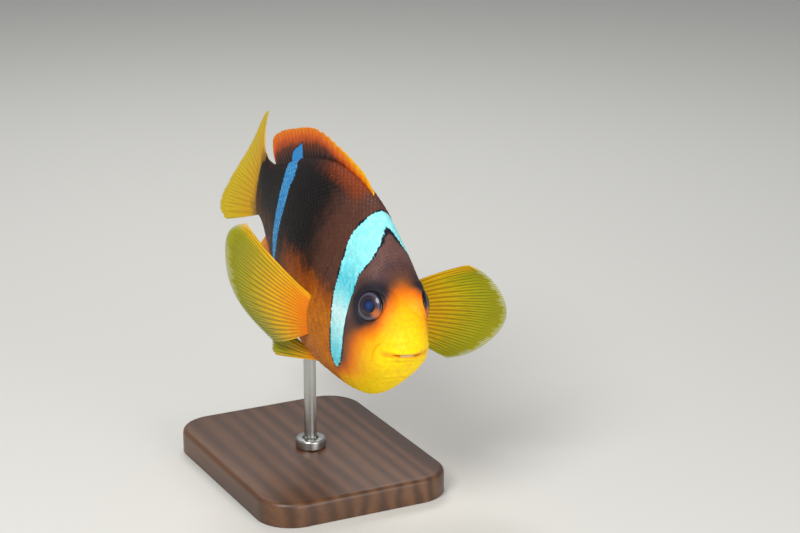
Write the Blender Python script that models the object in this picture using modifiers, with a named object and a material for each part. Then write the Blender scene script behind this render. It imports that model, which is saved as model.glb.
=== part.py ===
"""A life-size two-band anemonefish on a plain display stand.

The fish is modelled in its own frame: +X to its left, +Y towards its tail, +Z up, with the
tip of the upper lip at the origin. Shapes are given in fractions of the standard length, which
is the distance from the lip to the root of the tail fin. One empty then tilts the whole fish
over the stand. The world origin is the centre of the underside of the stand's base.
"""

import bpy
import bmesh
from math import acos, atan, atan2, cos, exp, pi, radians, sin, tanh
from mathutils import Euler, Matrix, Vector

# Driving dimensions, in metres
STANDARD_LENGTH = 0.092
GAP = 0.0003
FIN_EDGE = 0.00055
BASE_LENGTH = 0.062
BASE_WIDTH = 0.048
BASE_HEIGHT = 0.006
BASE_CORNER = 0.009
BASE_BEVEL = 0.0012
ROD_DIAMETER = 0.003
ROD_CLEAR_HEIGHT = 0.027
COLLAR_DIAMETER = 0.0074
COLLAR_HEIGHT = 0.0022

# Attitude of the fish over the stand
NOSE_DOWN = radians(9.0)
LEFT_SIDE_DOWN = radians(6.0)
ROD_STATION = 0.50

# Body outline: (station, value), all in standard lengths from the lip
BACK = [(0, 0), (0.006, 0.024), (0.02, 0.052), (0.05, 0.092), (0.1, 0.15), (0.15, 0.203),
        (0.2, 0.244), (0.25, 0.273), (0.3, 0.291), (0.4, 0.302), (0.5, 0.294), (0.6, 0.268),
        (0.7, 0.226), (0.8, 0.172), (0.9, 0.125), (1.0, 0.112)]
BELLY = [(0, 0), (0.006, -0.028), (0.02, -0.06), (0.05, -0.100), (0.1, -0.154), (0.15, -0.182),
         (0.2, -0.195), (0.3, -0.206), (0.4, -0.216), (0.5, -0.213), (0.6, -0.194),
         (0.7, -0.152), (0.8, -0.1), (0.9, -0.062), (1.0, -0.058)]
HALF_WIDTH = [(0, 0), (0.006, 0.034), (0.02, 0.06), (0.05, 0.078), (0.1, 0.089), (0.15, 0.094),
              (0.2, 0.098), (0.3, 0.103), (0.4, 0.102), (0.5, 0.094), (0.6, 0.08), (0.7, 0.06),
              (0.8, 0.042), (0.9, 0.027), (1.0, 0.01)]
WIDEST_LEVEL = [(0, 0), (0.02, -0.008), (0.05, -0.015), (0.1, -0.01), (0.2, -0.005), (0.3, 0),
                (0.5, 0.02), (0.7, 0.03), (1.0, 0.027)]
ROUNDNESS_ABOVE = [(0, 2.1), (0.05, 2.5), (0.1, 2.4), (0.15, 2.3), (0.2, 1.9), (0.3, 1.7),
                   (0.5, 1.8), (1.0, 2.0)]
ROUNDNESS_BELOW = [(0, 2.1), (0.05, 2.1), (0.1, 1.95), (0.2, 2.1), (0.3, 2.1), (0.6, 1.9),
                   (1.0, 2.0)]

# The swelling round each eye, over the cross-section
BROW_RISE = 0.015
BROW_STATION = 0.108
BROW_HEIGHT = 0.100
BROW_LENGTH = 0.046
BROW_DEPTH = 0.044
RINGS = 42
RING_SIDES = 36
RING_CROWDING = 1.6
TAIL_CAP = 0.003

# The hind body bends to the fish's left and the tail fin twists with it
BEND_START = 0.45
BEND_RATE = 0.13
TAIL_TWIST = 1.9
TAIL_AXIS_HEIGHT = 0.025

# Where the body is parted
GILL_COVER_EDGE = [(0.285, 0.40), (0.285, 0.22), (0.292, 0.10), (0.312, 0.02), (0.316, -0.04),
                   (0.300, -0.10), (0.255, -0.15), (0.205, -0.185), (0.180, -0.30)]
PEDUNCLE_START = 0.80

# Eyes and mouth
EYE_STATION = 0.0939
EYE_SIDE = 0.0727
EYE_LEVEL = 0.0893
EYE_RADIUS = 0.037
EYE_DEPTH = 0.013
EYE_AXIS = (0.90, -0.36, 0.25)
MOUTH_HALF_WIDTH = 0.046
MOUTH_REACH = 0.040
MOUTH_OPENING = 0.008
MOUTH_SLOPE = radians(35.0)

# Fins along the midline: (station of the ray's root, value at its tip)
DORSAL_START = 0.295
DORSAL_SPLIT = 0.60
DORSAL_END = 0.87
DORSAL_TIP_STATION = [(0.295, 0.300), (0.40, 0.420), (0.58, 0.625), (0.70, 0.790), (0.78, 0.905),
                      (0.83, 0.945), (0.87, 0.925)]
DORSAL_TIP_HEIGHT = [(0.295, 0.296), (0.34, 0.317), (0.40, 0.328), (0.50, 0.334), (0.58, 0.330),
                     (0.64, 0.308), (0.70, 0.272), (0.78, 0.215), (0.83, 0.178), (0.87, 0.148)]
DORSAL_SPINES = 10
DORSAL_SOFT_RAYS = 16
SPINE_NOTCH = 0.05
ANAL_START = 0.64
ANAL_END = 0.86
ANAL_TIP_STATION = [(0.64, 0.68), (0.70, 0.80), (0.76, 0.885), (0.82, 0.925), (0.86, 0.915)]
ANAL_TIP_HEIGHT = [(0.64, -0.214), (0.70, -0.262), (0.76, -0.250), (0.82, -0.190), (0.86, -0.118)]
ANAL_RAYS = 14
FIN_ROOT_DEPTH = 0.022
FIN_ROOT_THICKNESS = 0.0013

# Tail fin
TAIL_ROOT_STATION = 0.965
TAIL_ROOT_HALF_HEIGHT = 0.078
TAIL_TIP_STATION = 1.19
TAIL_TIP_HALF_HEIGHT = 0.165
TAIL_COLUMNS = 24

# Paired fins: a fan of rays from a short root line on the body
PECTORAL_ROOT_TOP = (0.090, 0.330, -0.008)
PECTORAL_ROOT_BOTTOM = (0.088, 0.345, -0.105)
PECTORAL_RAYS = 18
PELVIC_ROOT_FRONT = (0.026, 0.345, -0.190)
PELVIC_ROOT_REAR = (0.020, 0.400, -0.196)
PELVIC_RAYS = 8


def smooth_profile(knots, station):
    """Read a smooth curve through knots; the root spacing rounds off the snout."""
    xs = [knot[0] ** 0.5 for knot in knots]
    ys = [knot[1] for knot in knots]
    x = min(max(station, 0.0) ** 0.5, xs[-1])
    slopes = [(ys[i + 1] - ys[i]) / (xs[i + 1] - xs[i]) for i in range(len(xs) - 1)]
    i = max(j for j in range(len(xs) - 1) if xs[j] <= x)

    def tangent(k):
        if k == 0:
            return slopes[0]
        if k == len(xs) - 1:
            return slopes[-1]
        before = xs[k] - xs[k - 1]
        after = xs[k + 1] - xs[k]
        return (slopes[k - 1] * after + slopes[k] * before) / (before + after)

    width = xs[i + 1] - xs[i]
    t = (x - xs[i]) / width
    rise = ys[i + 1] - ys[i]
    ease = 3 * t ** 2 - 2 * t ** 3
    start = (t ** 3 - 2 * t ** 2 + t) * width * tangent(i)
    end = (t ** 3 - t ** 2) * width * tangent(i + 1)
    return ys[i] + rise * ease + start + end


def bent(side, station, height):
    """Place a point of the straight fish on the bent one, in metres."""
    beyond = max(station - BEND_START, 0.0)
    turn = atan(2 * BEND_RATE * beyond)
    x = BEND_RATE * beyond ** 2 + side * cos(turn)
    y = station - side * sin(turn)
    return Vector((x, y, height)) * STANDARD_LENGTH


def signed_power(value, power):
    return (abs(value) ** power) * (1 if value >= 0 else -1)


def body_point(station, angle):
    """A point of the body's surface; the angle runs from the back over the left side."""
    level = smooth_profile(WIDEST_LEVEL, station)
    above = cos(angle) >= 0
    edge = smooth_profile(BACK if above else BELLY, station)
    roundness = smooth_profile(ROUNDNESS_ABOVE if above else ROUNDNESS_BELOW, station)
    side = smooth_profile(HALF_WIDTH, station) * signed_power(sin(angle), 2 / roundness)
    height = level + abs(edge - level) * signed_power(cos(angle), 2 / roundness)
    from_brow = ((station - BROW_STATION) / BROW_LENGTH) ** 2 + ((height - BROW_HEIGHT) / BROW_DEPTH) ** 2
    side += BROW_RISE * exp(-from_brow) * tanh(side / 0.03)
    return bent(side, station, height)


def collection(name):
    """The collection of that name, made at its first use."""
    found = bpy.data.collections.get(name)
    if found is None:
        found = bpy.data.collections.new(name)
        bpy.context.scene.collection.children.link(found)
    return found


def material(name, colour, roughness, metallic=0.0):
    """A Principled material."""
    made = bpy.data.materials.new(name)
    made.use_nodes = True
    shader = made.node_tree.nodes["Principled BSDF"]
    shader.inputs["Base Color"].default_value = (*colour, 1.0)
    shader.inputs["Roughness"].default_value = roughness
    shader.inputs["Metallic"].default_value = metallic
    made.diffuse_color = (*colour, 1.0)
    return made


def new_object(name, bm, group="clownfish", parent=None):
    """Turn a bmesh into an object in the named collection."""
    mesh = bpy.data.meshes.new(name)
    bmesh.ops.recalc_face_normals(bm, faces=bm.faces)
    bm.to_mesh(mesh)
    bm.free()
    mesh.shade_smooth()
    mesh.set_sharp_from_angle(angle=radians(40))
    made = bpy.data.objects.new(name, mesh)
    collection(group).objects.link(made)
    made.parent = parent
    return made


def as_cutter(made):
    """Mark an object as one that only shapes others."""
    made.hide_render = True
    made.display_type = "WIRE"
    return made


def boolean(target, cutter, operation):
    """Cut or trim the target by another object, with the exact solver."""
    modifier = target.modifiers.new(f"{operation.lower()} {cutter.name}", "BOOLEAN")
    modifier.operation = operation
    modifier.solver = "EXACT"
    modifier.object = cutter


def fish_pose():
    """The empty that tilts the fish and sets it over the base."""
    pose = bpy.data.objects.new("fish_pose", None)
    collection("clownfish").objects.link(pose)
    pose.rotation_mode = "YXZ"
    pose.rotation_euler = Euler((NOSE_DOWN, LEFT_SIDE_DOWN, 0.0), "YXZ")
    tilt = Matrix.Rotation(NOSE_DOWN, 3, "X") @ Matrix.Rotation(LEFT_SIDE_DOWN, 3, "Y")
    seat = tilt @ body_point(ROD_STATION, pi)
    pose.location = Vector((0.0, 0.0, BASE_HEIGHT + ROD_CLEAR_HEIGHT)) - seat
    return pose


def body_mesh(grow=0.0):
    """The closed body: a sphere whose rings become the body's cross-sections."""
    bm = bmesh.new()
    bmesh.ops.create_uvsphere(bm, u_segments=RING_SIDES, v_segments=RINGS, radius=1.0)
    for vert in bm.verts:
        ring = round(acos(max(-1.0, min(1.0, vert.co.z))) / pi * RINGS)
        if ring == 0:
            vert.co = bent(0.0, 0.0, 0.0)
        elif ring == RINGS:
            vert.co = bent(0.0, 1.0 + TAIL_CAP, TAIL_AXIS_HEIGHT)
        else:
            station = (ring / (RINGS - 1)) ** RING_CROWDING
            vert.co = body_point(station, atan2(vert.co.y, vert.co.x))
    bmesh.ops.recalc_face_normals(bm, faces=bm.faces)
    if grow:
        bm.normal_update()
        for vert in bm.verts:
            vert.co += vert.normal * grow
    return bm


def side_plate(name, outline, parent, shift=0.0):
    """A thick plate seen from the side as the outline; it trims the body."""
    data = bpy.data.curves.new(name, "CURVE")
    data.dimensions = "2D"
    data.fill_mode = "BOTH"
    data.extrude = 0.3 * STANDARD_LENGTH
    spline = data.splines.new("POLY")
    spline.points.add(len(outline) - 1)
    for point, (station, height) in zip(spline.points, outline):
        point.co = (station * STANDARD_LENGTH + shift, height * STANDARD_LENGTH, 0.0, 1.0)
    spline.use_cyclic_u = True
    curve = bpy.data.objects.new(name, data)
    curve.rotation_euler = (pi / 2, 0.0, pi / 2)
    collection("cutters").objects.link(curve)
    bpy.context.view_layer.update()
    mesh = bpy.data.meshes.new_from_object(curve.evaluated_get(bpy.context.evaluated_depsgraph_get()))
    bm = bmesh.new()
    bm.from_mesh(mesh)
    bmesh.ops.transform(bm, matrix=curve.matrix_world, verts=bm.verts)
    bmesh.ops.remove_doubles(bm, verts=bm.verts, dist=1e-6)
    bpy.data.objects.remove(curve)
    bpy.data.meshes.remove(mesh)
    return as_cutter(new_object(name, bm, "cutters", parent))


def gill_outline():
    """Everything in front of the gill cover's hind edge, rounded by smooth steps."""
    steps = 24
    spans = len(GILL_COVER_EDGE) - 1
    edge = []
    for i in range(steps + 1):
        at = i / steps * spans
        k = min(int(at), spans - 1)
        t = at - k
        p = [Vector(GILL_COVER_EDGE[min(max(k + j, 0), spans)]) for j in (-1, 0, 1, 2)]
        smooth = p[1] + 0.5 * t * (p[2] - p[0] + t * (2 * p[0] - 5 * p[1] + 4 * p[2] - p[3]
                                                      + t * (3 * (p[1] - p[2]) + p[3] - p[0])))
        edge.append(tuple(smooth))
    return [(-0.1, 0.40)] + edge + [(-0.1, -0.30)]


def box_outline(start, end):
    return [(start, 0.5), (end, 0.5), (end, -0.5), (start, -0.5)]


def eye_mesh(side, grow=0.0):
    """A flattened ball that looks out, a little forwards and up."""
    bm = bmesh.new()
    bmesh.ops.create_uvsphere(bm, u_segments=20, v_segments=10, radius=1.0)
    radius = EYE_RADIUS * STANDARD_LENGTH + grow
    depth = EYE_DEPTH * STANDARD_LENGTH + grow
    bmesh.ops.scale(bm, vec=(radius, radius, depth), verts=bm.verts)
    axis = Vector((side * EYE_AXIS[0], EYE_AXIS[1], EYE_AXIS[2]))
    turn = axis.to_track_quat("Z", "Y").to_matrix()
    bmesh.ops.rotate(bm, cent=(0, 0, 0), matrix=turn, verts=bm.verts)
    centre = Vector((side * EYE_SIDE, EYE_STATION, EYE_LEVEL)) * STANDARD_LENGTH
    bmesh.ops.translate(bm, vec=centre, verts=bm.verts)
    return bm


def mouth_cutter(parent):
    """A thin lens that opens the mouth between the lips."""
    bm = bmesh.new()
    bmesh.ops.create_uvsphere(bm, u_segments=24, v_segments=12, radius=STANDARD_LENGTH)
    half = (MOUTH_HALF_WIDTH, MOUTH_REACH, MOUTH_OPENING / 2)
    bmesh.ops.scale(bm, vec=half, verts=bm.verts)
    slope = Matrix.Rotation(-MOUTH_SLOPE, 3, "X")
    bmesh.ops.rotate(bm, cent=(0, 0, 0), matrix=slope, verts=bm.verts)
    return as_cutter(new_object("mouth_cutter", bm, "cutters", parent))


def sheet(name, point, across, along, parent, root_thickness=FIN_ROOT_THICKNESS):
    """A fin: a grid laid by point(across, along), thickened and thinner at its edge."""
    bm = bmesh.new()
    bmesh.ops.create_grid(bm, x_segments=across, y_segments=along, size=0.5)
    reach = {}
    for vert in bm.verts:
        u = vert.co.x + 0.5
        v = vert.co.y + 0.5
        reach[vert.index] = v
        vert.co = point(u, v)
    made = new_object(name, bm, parent=parent)
    thin = made.vertex_groups.new(name="root to edge")
    for index, v in reach.items():
        thin.add([index], max(1.0 - v * 1.25, 0.0), "REPLACE")
    solid = made.modifiers.new("thickness", "SOLIDIFY")
    solid.thickness = root_thickness
    solid.offset = 0.0
    solid.vertex_group = thin.name
    solid.thickness_vertex_group = FIN_EDGE / root_thickness
    return made


def midline_fin(name, span, tips, edge, parent, columns, spines=0):
    """A fin whose rays rise from the back or hang from the belly."""
    first, last = span
    inward = -1 if edge is BACK else 1

    def point(u, v):
        root = first + (last - first) * u
        low = smooth_profile(edge, root) + inward * FIN_ROOT_DEPTH
        station = smooth_profile(tips[0], root)
        high = smooth_profile(tips[1], root)
        reach = v * (1 - SPINE_NOTCH * v * sin(pi * u * spines) ** 2)
        return bent(0.0, root + (station - root) * reach, low + (high - low) * reach)

    return sheet(name, point, columns, 5, parent)


def tail_fin(parent):
    """The tail fin: a fan from the root of the tail, with blunt corners."""
    def point(u, v):
        across = 2 * u - 1
        root = Vector((TAIL_ROOT_STATION, TAIL_AXIS_HEIGHT + TAIL_ROOT_HALF_HEIGHT * across))
        station = TAIL_TIP_STATION + 0.015 * across ** 2 - 0.07 * across ** 10
        tip = Vector((station, TAIL_AXIS_HEIGHT - 0.005 + TAIL_TIP_HALF_HEIGHT * across))
        place = root.lerp(tip, v)
        beyond = max(place.x - 1.0, 0.0)
        side = TAIL_TWIST * beyond * (place.y - TAIL_AXIS_HEIGHT)
        return bent(side, place.x, place.y)

    return sheet("caudal_fin", point, TAIL_COLUMNS, 6, parent)


def fan_fin(name, side, roots, aim, spread, lengths, rays, bow, parent, root_thickness):
    """A paired fin: rays from a root line, fanned about the aimed direction."""
    start = Vector((side * roots[0][0], roots[0][1], roots[0][2]))
    end = Vector((side * roots[1][0], roots[1][1], roots[1][2]))
    sweep, lift, roll = aim
    ahead = Vector((side * cos(lift) * sin(sweep), -cos(lift) * cos(sweep), sin(lift)))
    down = (Vector((0, 0, -1)) - ahead * Vector((0, 0, -1)).dot(ahead)).normalized()
    back = ahead.cross(down)
    back = back if back.y > 0 else -back
    across = cos(roll) * down + sin(roll) * back
    face = ahead.cross(across)
    face = face if face.x * side > 0 else -face

    def point(u, v):
        angle = spread[0] + (spread[1] - spread[0]) * u
        length = lengths(u)
        ray = ahead * cos(angle) + across * sin(angle)
        along = v * 1.06 - 0.06
        place = start.lerp(end, u) + ray * along * length + face * bow * (4 * along * (1 - along))
        return place * STANDARD_LENGTH

    return sheet(name, point, rays, 6, parent, root_thickness)


def pectoral_length(longest):
    """The middle rays are the longest, the lowest ones the shortest."""
    return lambda u: longest * (0.80 + 0.88 * u - 1.05 * u ** 2) / 0.984


def pelvic_length(u):
    """The second ray of the pelvic fin is the longest."""
    return 0.225 + 0.06 * u - 0.16 * u ** 2


def paired_fins(parent):
    """The left pectoral fin fans forwards, the right one is swept back along the body."""
    roots = (PECTORAL_ROOT_TOP, PECTORAL_ROOT_BOTTOM)
    aims = {"left": (radians(52), radians(15), radians(30)),
            "right": (radians(157), radians(6), radians(26))}
    spreads = {"left": (radians(-26), radians(35)), "right": (radians(-30), radians(44))}
    longest = {"left": 0.335, "right": 0.325}
    made = []
    for name, side in (("left", 1), ("right", -1)):
        made.append(fan_fin(f"pectoral_fin_{name}", side, roots, aims[name], spreads[name],
                            pectoral_length(longest[name]), PECTORAL_RAYS, 0.012, parent, 0.0016))
        made.append(fan_fin(f"pelvic_fin_{name}", side, (PELVIC_ROOT_FRONT, PELVIC_ROOT_REAR),
                            (radians(168), radians(-13), radians(12)),
                            (radians(8), radians(-16)), pelvic_length, PELVIC_RAYS, 0.004,
                            parent, 0.0012))
    return made


def stand_base():
    """A low rounded block, its upper edge softened."""
    bm = bmesh.new()
    bmesh.ops.create_cube(bm, size=1.0)
    bmesh.ops.scale(bm, vec=(BASE_WIDTH, BASE_LENGTH, BASE_HEIGHT), verts=bm.verts)
    bmesh.ops.translate(bm, vec=(0, 0, BASE_HEIGHT / 2), verts=bm.verts)
    upright = [e for e in bm.edges if abs(e.verts[0].co.z - e.verts[1].co.z) > BASE_HEIGHT / 2]
    bmesh.ops.bevel(bm, geom=upright, offset=BASE_CORNER, affect="EDGES", segments=8,
                    profile=0.5, material=-1)
    rim = [e for e in bm.edges if min(v.co.z for v in e.verts) > BASE_HEIGHT * 0.9]
    bmesh.ops.bevel(bm, geom=rim, offset=BASE_BEVEL, affect="EDGES", segments=3,
                    profile=0.5, material=-1)
    return new_object("stand_base", bm)


def stand_rod():
    """The upright rod, from the base up into the belly."""
    bm = bmesh.new()
    bottom = BASE_HEIGHT + GAP
    top = BASE_HEIGHT + ROD_CLEAR_HEIGHT + 0.05 * STANDARD_LENGTH
    bmesh.ops.create_cone(bm, cap_ends=True, segments=24, radius1=ROD_DIAMETER / 2,
                          radius2=ROD_DIAMETER / 2, depth=top - bottom)
    bmesh.ops.translate(bm, vec=(0, 0, (top + bottom) / 2), verts=bm.verts)
    return new_object("stand_rod", bm)


def stand_collar():
    """A turned ring round the foot of the rod."""
    bm = bmesh.new()
    inner = ROD_DIAMETER / 2 + GAP
    outer = COLLAR_DIAMETER / 2
    low = BASE_HEIGHT + GAP
    high = low + COLLAR_HEIGHT
    chamfer = COLLAR_HEIGHT * 0.2
    profile = [(inner, low), (outer, low), (outer, high - chamfer), (outer - chamfer, high),
               (inner, high)]
    verts = [bm.verts.new((radius, 0, height)) for radius, height in profile]
    edges = [bm.edges.new((verts[i], verts[(i + 1) % len(verts)])) for i in range(len(verts))]
    bmesh.ops.spin(bm, geom=verts + edges, cent=(0, 0, 0), axis=(0, 0, 1), angle=2 * pi,
                   steps=32, use_merge=True)
    bmesh.ops.remove_doubles(bm, verts=bm.verts, dist=1e-7)
    return new_object("stand_collar", bm)


def build():
    for old in list(bpy.data.objects):
        bpy.data.objects.remove(old)
    pose = fish_pose()
    hollow = as_cutter(new_object("body_with_gap", body_mesh(GAP), "cutters", pose))
    front = side_plate("front_of_gill_edge", gill_outline(), pose)
    front_gap = side_plate("front_with_gap", gill_outline(), pose, GAP)
    rear = side_plate("peduncle_side", box_outline(PEDUNCLE_START, 1.3), pose)
    rear_gap = side_plate("peduncle_with_gap", box_outline(PEDUNCLE_START, 1.3), pose, -GAP)

    head = new_object("head", body_mesh(), parent=pose)
    boolean(head, front, "INTERSECT")
    boolean(head, mouth_cutter(pose), "DIFFERENCE")
    trunk = new_object("trunk", body_mesh(), parent=pose)
    boolean(trunk, front_gap, "DIFFERENCE")
    boolean(trunk, rear_gap, "DIFFERENCE")
    peduncle = new_object("tail_peduncle", body_mesh(), parent=pose)
    boolean(peduncle, rear, "INTERSECT")

    eyes = []
    for name, side in (("left", 1), ("right", -1)):
        socket = new_object(f"socket_{name}", eye_mesh(side, GAP), "cutters", pose)
        boolean(head, as_cutter(socket), "DIFFERENCE")
        eyes.append(new_object(f"eye_{name}", eye_mesh(side), parent=pose))

    dorsal = (DORSAL_TIP_STATION, DORSAL_TIP_HEIGHT)
    split = DORSAL_SPLIT - GAP / STANDARD_LENGTH
    spiny = midline_fin("dorsal_fin_spiny", (DORSAL_START, split), dorsal, BACK, pose,
                        2 * DORSAL_SPINES, DORSAL_SPINES)
    soft = midline_fin("dorsal_fin_soft", (DORSAL_SPLIT, DORSAL_END), dorsal, BACK, pose,
                       DORSAL_SOFT_RAYS)
    anal = midline_fin("anal_fin", (ANAL_START, ANAL_END), (ANAL_TIP_STATION, ANAL_TIP_HEIGHT),
                       BELLY, pose, ANAL_RAYS)
    fins = [spiny, soft, anal, tail_fin(pose)] + paired_fins(pose)
    rod = stand_rod()
    for grown in fins + [rod]:
        boolean(grown, hollow, "DIFFERENCE")
    base = stand_base()
    collar = stand_collar()

    face = material("orange-yellow face", (1.0, 0.50, 0.0), 0.45)
    flank = material("dark brown flank", (0.035, 0.014, 0.010), 0.45)
    fin = material("yellow fin membrane", (0.75, 0.42, 0.01), 0.5)
    glassy = material("dark eye", (0.010, 0.014, 0.035), 0.08)
    walnut = material("oiled walnut", (0.09, 0.045, 0.022), 0.5)
    steel = material("brushed steel", (0.56, 0.57, 0.58), 0.3, 1.0)
    finishes = [(head, face), (trunk, flank), (peduncle, flank), (base, walnut), (rod, steel),
                (collar, steel)]
    finishes += [(made, fin) for made in fins] + [(made, glassy) for made in eyes]
    for made, finish in finishes:
        made.data.materials.append(finish)


build()
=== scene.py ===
"""Museum finish for a two-band anemonefish on its stand: skin, scales, fins, eyes, teeth, stand.

The fish is worked out in its own frame, as its solids are: +X to its left, +Y towards its tail,
+Z up, lip tip at the origin, lengths as fractions of the standard length. A place on the body is
(station, girth): the distance from the lip, and the share of the way round from the belly over
the right side, the back and the left side to the belly again.
"""

from math import cos, pi, radians, sin, tan

import bmesh
import bpy
import numpy as np
from bpy.props import FloatProperty, FloatVectorProperty, IntProperty, PointerProperty
from mathutils import Matrix, Vector


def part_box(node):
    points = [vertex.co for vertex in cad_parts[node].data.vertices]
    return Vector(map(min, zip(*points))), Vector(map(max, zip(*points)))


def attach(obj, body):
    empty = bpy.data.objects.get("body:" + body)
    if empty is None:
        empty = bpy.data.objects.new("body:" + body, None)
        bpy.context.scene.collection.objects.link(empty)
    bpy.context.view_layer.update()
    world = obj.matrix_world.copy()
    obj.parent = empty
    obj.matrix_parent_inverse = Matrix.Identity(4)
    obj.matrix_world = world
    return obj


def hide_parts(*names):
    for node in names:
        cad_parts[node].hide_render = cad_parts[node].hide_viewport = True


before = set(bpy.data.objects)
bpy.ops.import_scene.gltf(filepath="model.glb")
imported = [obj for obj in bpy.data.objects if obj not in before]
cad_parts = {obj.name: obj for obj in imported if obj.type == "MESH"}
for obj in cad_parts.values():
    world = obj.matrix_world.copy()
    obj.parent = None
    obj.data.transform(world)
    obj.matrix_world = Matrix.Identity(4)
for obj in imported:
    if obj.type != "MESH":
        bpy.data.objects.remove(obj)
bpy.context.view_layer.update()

bl_info = {
    "name": "Anemonefish Museum Model",
    "version": (1, 0, 0),
    "blender": (4, 5, 0),
    "location": "3D View > Sidebar > Anemonefish",
    "description": "Builds the skin, scales, fins, eyes and stand of a life-size anemonefish",
    "category": "Object",
}

# The body's shape, as in its solids: (station, value), in standard lengths
STANDARD_LENGTH = 0.092
BACK = [(0, 0), (0.006, 0.024), (0.02, 0.052), (0.05, 0.092), (0.1, 0.15), (0.15, 0.203),
        (0.2, 0.244), (0.25, 0.273), (0.3, 0.291), (0.4, 0.302), (0.5, 0.294), (0.6, 0.268),
        (0.7, 0.226), (0.8, 0.172), (0.9, 0.125), (1.0, 0.112)]
BELLY = [(0, 0), (0.006, -0.028), (0.02, -0.06), (0.05, -0.100), (0.1, -0.154), (0.15, -0.182),
         (0.2, -0.195), (0.3, -0.206), (0.4, -0.216), (0.5, -0.213), (0.6, -0.194),
         (0.7, -0.152), (0.8, -0.1), (0.9, -0.062), (1.0, -0.058)]
HALF_WIDTH = [(0, 0), (0.006, 0.034), (0.02, 0.06), (0.05, 0.078), (0.1, 0.089), (0.15, 0.094),
              (0.2, 0.098), (0.3, 0.103), (0.4, 0.102), (0.5, 0.094), (0.6, 0.08), (0.7, 0.06),
              (0.8, 0.042), (0.9, 0.027), (1.0, 0.01)]
WIDEST_LEVEL = [(0, 0), (0.02, -0.008), (0.05, -0.015), (0.1, -0.01), (0.2, -0.005), (0.3, 0),
                (0.5, 0.02), (0.7, 0.03), (1.0, 0.027)]
ROUNDNESS_ABOVE = [(0, 2.1), (0.05, 2.5), (0.1, 2.4), (0.15, 2.3), (0.2, 1.9), (0.3, 1.7),
                   (0.5, 1.8), (1.0, 2.0)]
ROUNDNESS_BELOW = [(0, 2.1), (0.05, 2.1), (0.1, 1.95), (0.2, 2.1), (0.3, 2.1), (0.6, 1.9),
                   (1.0, 2.0)]
BROW = {"rise": 0.015, "station": 0.108, "height": 0.100, "length": 0.046, "depth": 0.044}
TAIL_CAP = 0.003
BEND_START = 0.45
BEND_RATE = 0.13
TAIL_TWIST = 1.9
TAIL_AXIS_HEIGHT = 0.025

# Attitude of the fish over the stand
NOSE_DOWN = radians(9.0)
LEFT_SIDE_DOWN = radians(6.0)
ROD_STATION = 0.50
ROD_CLEAR_HEIGHT = 0.027

# Features of the head: stations and heights in standard lengths
GILL_COVER_EDGE = [(-0.30, 0.180), (-0.185, 0.205), (-0.15, 0.255), (-0.10, 0.300), (-0.04, 0.316),
                   (0.02, 0.312), (0.10, 0.292), (0.22, 0.285), (0.40, 0.285)]
CHEEK_EDGE = [(-0.30, 0.10), (-0.12, 0.120), (-0.09, 0.144), (-0.03, 0.158), (0.03, 0.158),
              (0.09, 0.150), (0.30, 0.140)]
SCALES_START = [(-0.30, 0.135), (-0.12, 0.135), (-0.05, 0.148), (0.04, 0.150), (0.08, 0.152),
                (0.115, 0.118), (0.14, 0.098), (0.30, 0.098)]
EYE_CENTRE = (0.0727, 0.0939, 0.0893)
EYE_AXIS = (0.90, -0.36, 0.25)
EYE_RADIUS = 0.037
EYE_DEPTH = 0.013
EYE_DOME = 0.0022
EYE_GAZE = (0.10, 0.07)
MOUTH_LEVEL = -0.003
MASK_SIDE = 0.005           # the middle of the face's yellow, a little to the left
JAW_CREASE = [(-0.30, 0.0), (-0.045, 0.030), (-0.030, 0.040), (-0.016, 0.043), (0.002, 0.039),
              (0.016, 0.034), (0.030, 0.024), (0.30, 0.0)]
MOUTH_HALF_WIDTH = 0.039
MOUTH_HALF_OPENING = 0.0029
TOOTH = {"pitch": 0.0054, "root": 0.0025, "tip": 0.0013, "length": 0.0046}

# The pale bars: (height, station) of their edges
HEAD_BAR_FRONT = [(-0.30, 0.240), (-0.136, 0.208), (-0.115, 0.184), (-0.064, 0.167), (-0.023, 0.167),
                  (0.03, 0.168), (0.075, 0.162), (0.115, 0.162), (0.137, 0.166), (0.174, 0.158),
                  (0.195, 0.162), (0.213, 0.171), (0.233, 0.189), (0.243, 0.199), (0.32, 0.250)]
HEAD_BAR_REAR = [(-0.30, 0.170), (-0.136, 0.200), (-0.115, 0.212), (-0.05, 0.220), (-0.01, 0.225),
                 (0.039, 0.236), (0.092, 0.240), (0.141, 0.248), (0.19, 0.256), (0.231, 0.252),
                 (0.258, 0.245), (0.32, 0.240)]
BODY_BAR_FRONT = [(-0.20, 0.700), (-0.13, 0.660), (-0.06, 0.642), (0.02, 0.637), (0.124, 0.637),
                  (0.166, 0.648), (0.186, 0.650), (0.198, 0.655), (0.209, 0.673), (0.219, 0.708),
                  (0.236, 0.722), (0.256, 0.733), (0.34, 0.800)]
BODY_BAR_REAR = [(-0.20, 0.620), (-0.13, 0.664), (-0.06, 0.680), (-0.006, 0.690), (0.091, 0.705),
                 (0.123, 0.718), (0.150, 0.728), (0.173, 0.754), (0.184, 0.777), (0.198, 0.784),
                 (0.211, 0.779), (0.224, 0.766), (0.240, 0.747), (0.256, 0.731), (0.34, 0.640)]

# Edge of the dark of the head over the cheek: (height, station)
DARK_CHEEK = [(-0.30, 0.330), (-0.15, 0.222), (-0.125, 0.194), (-0.105, 0.170), (-0.087, 0.153),
              (-0.053, 0.143), (-0.017, 0.134),
              (0.011, 0.118), (0.034, 0.093), (0.05, 0.076), (0.07, 0.062), (0.30, 0.050)]

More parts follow.
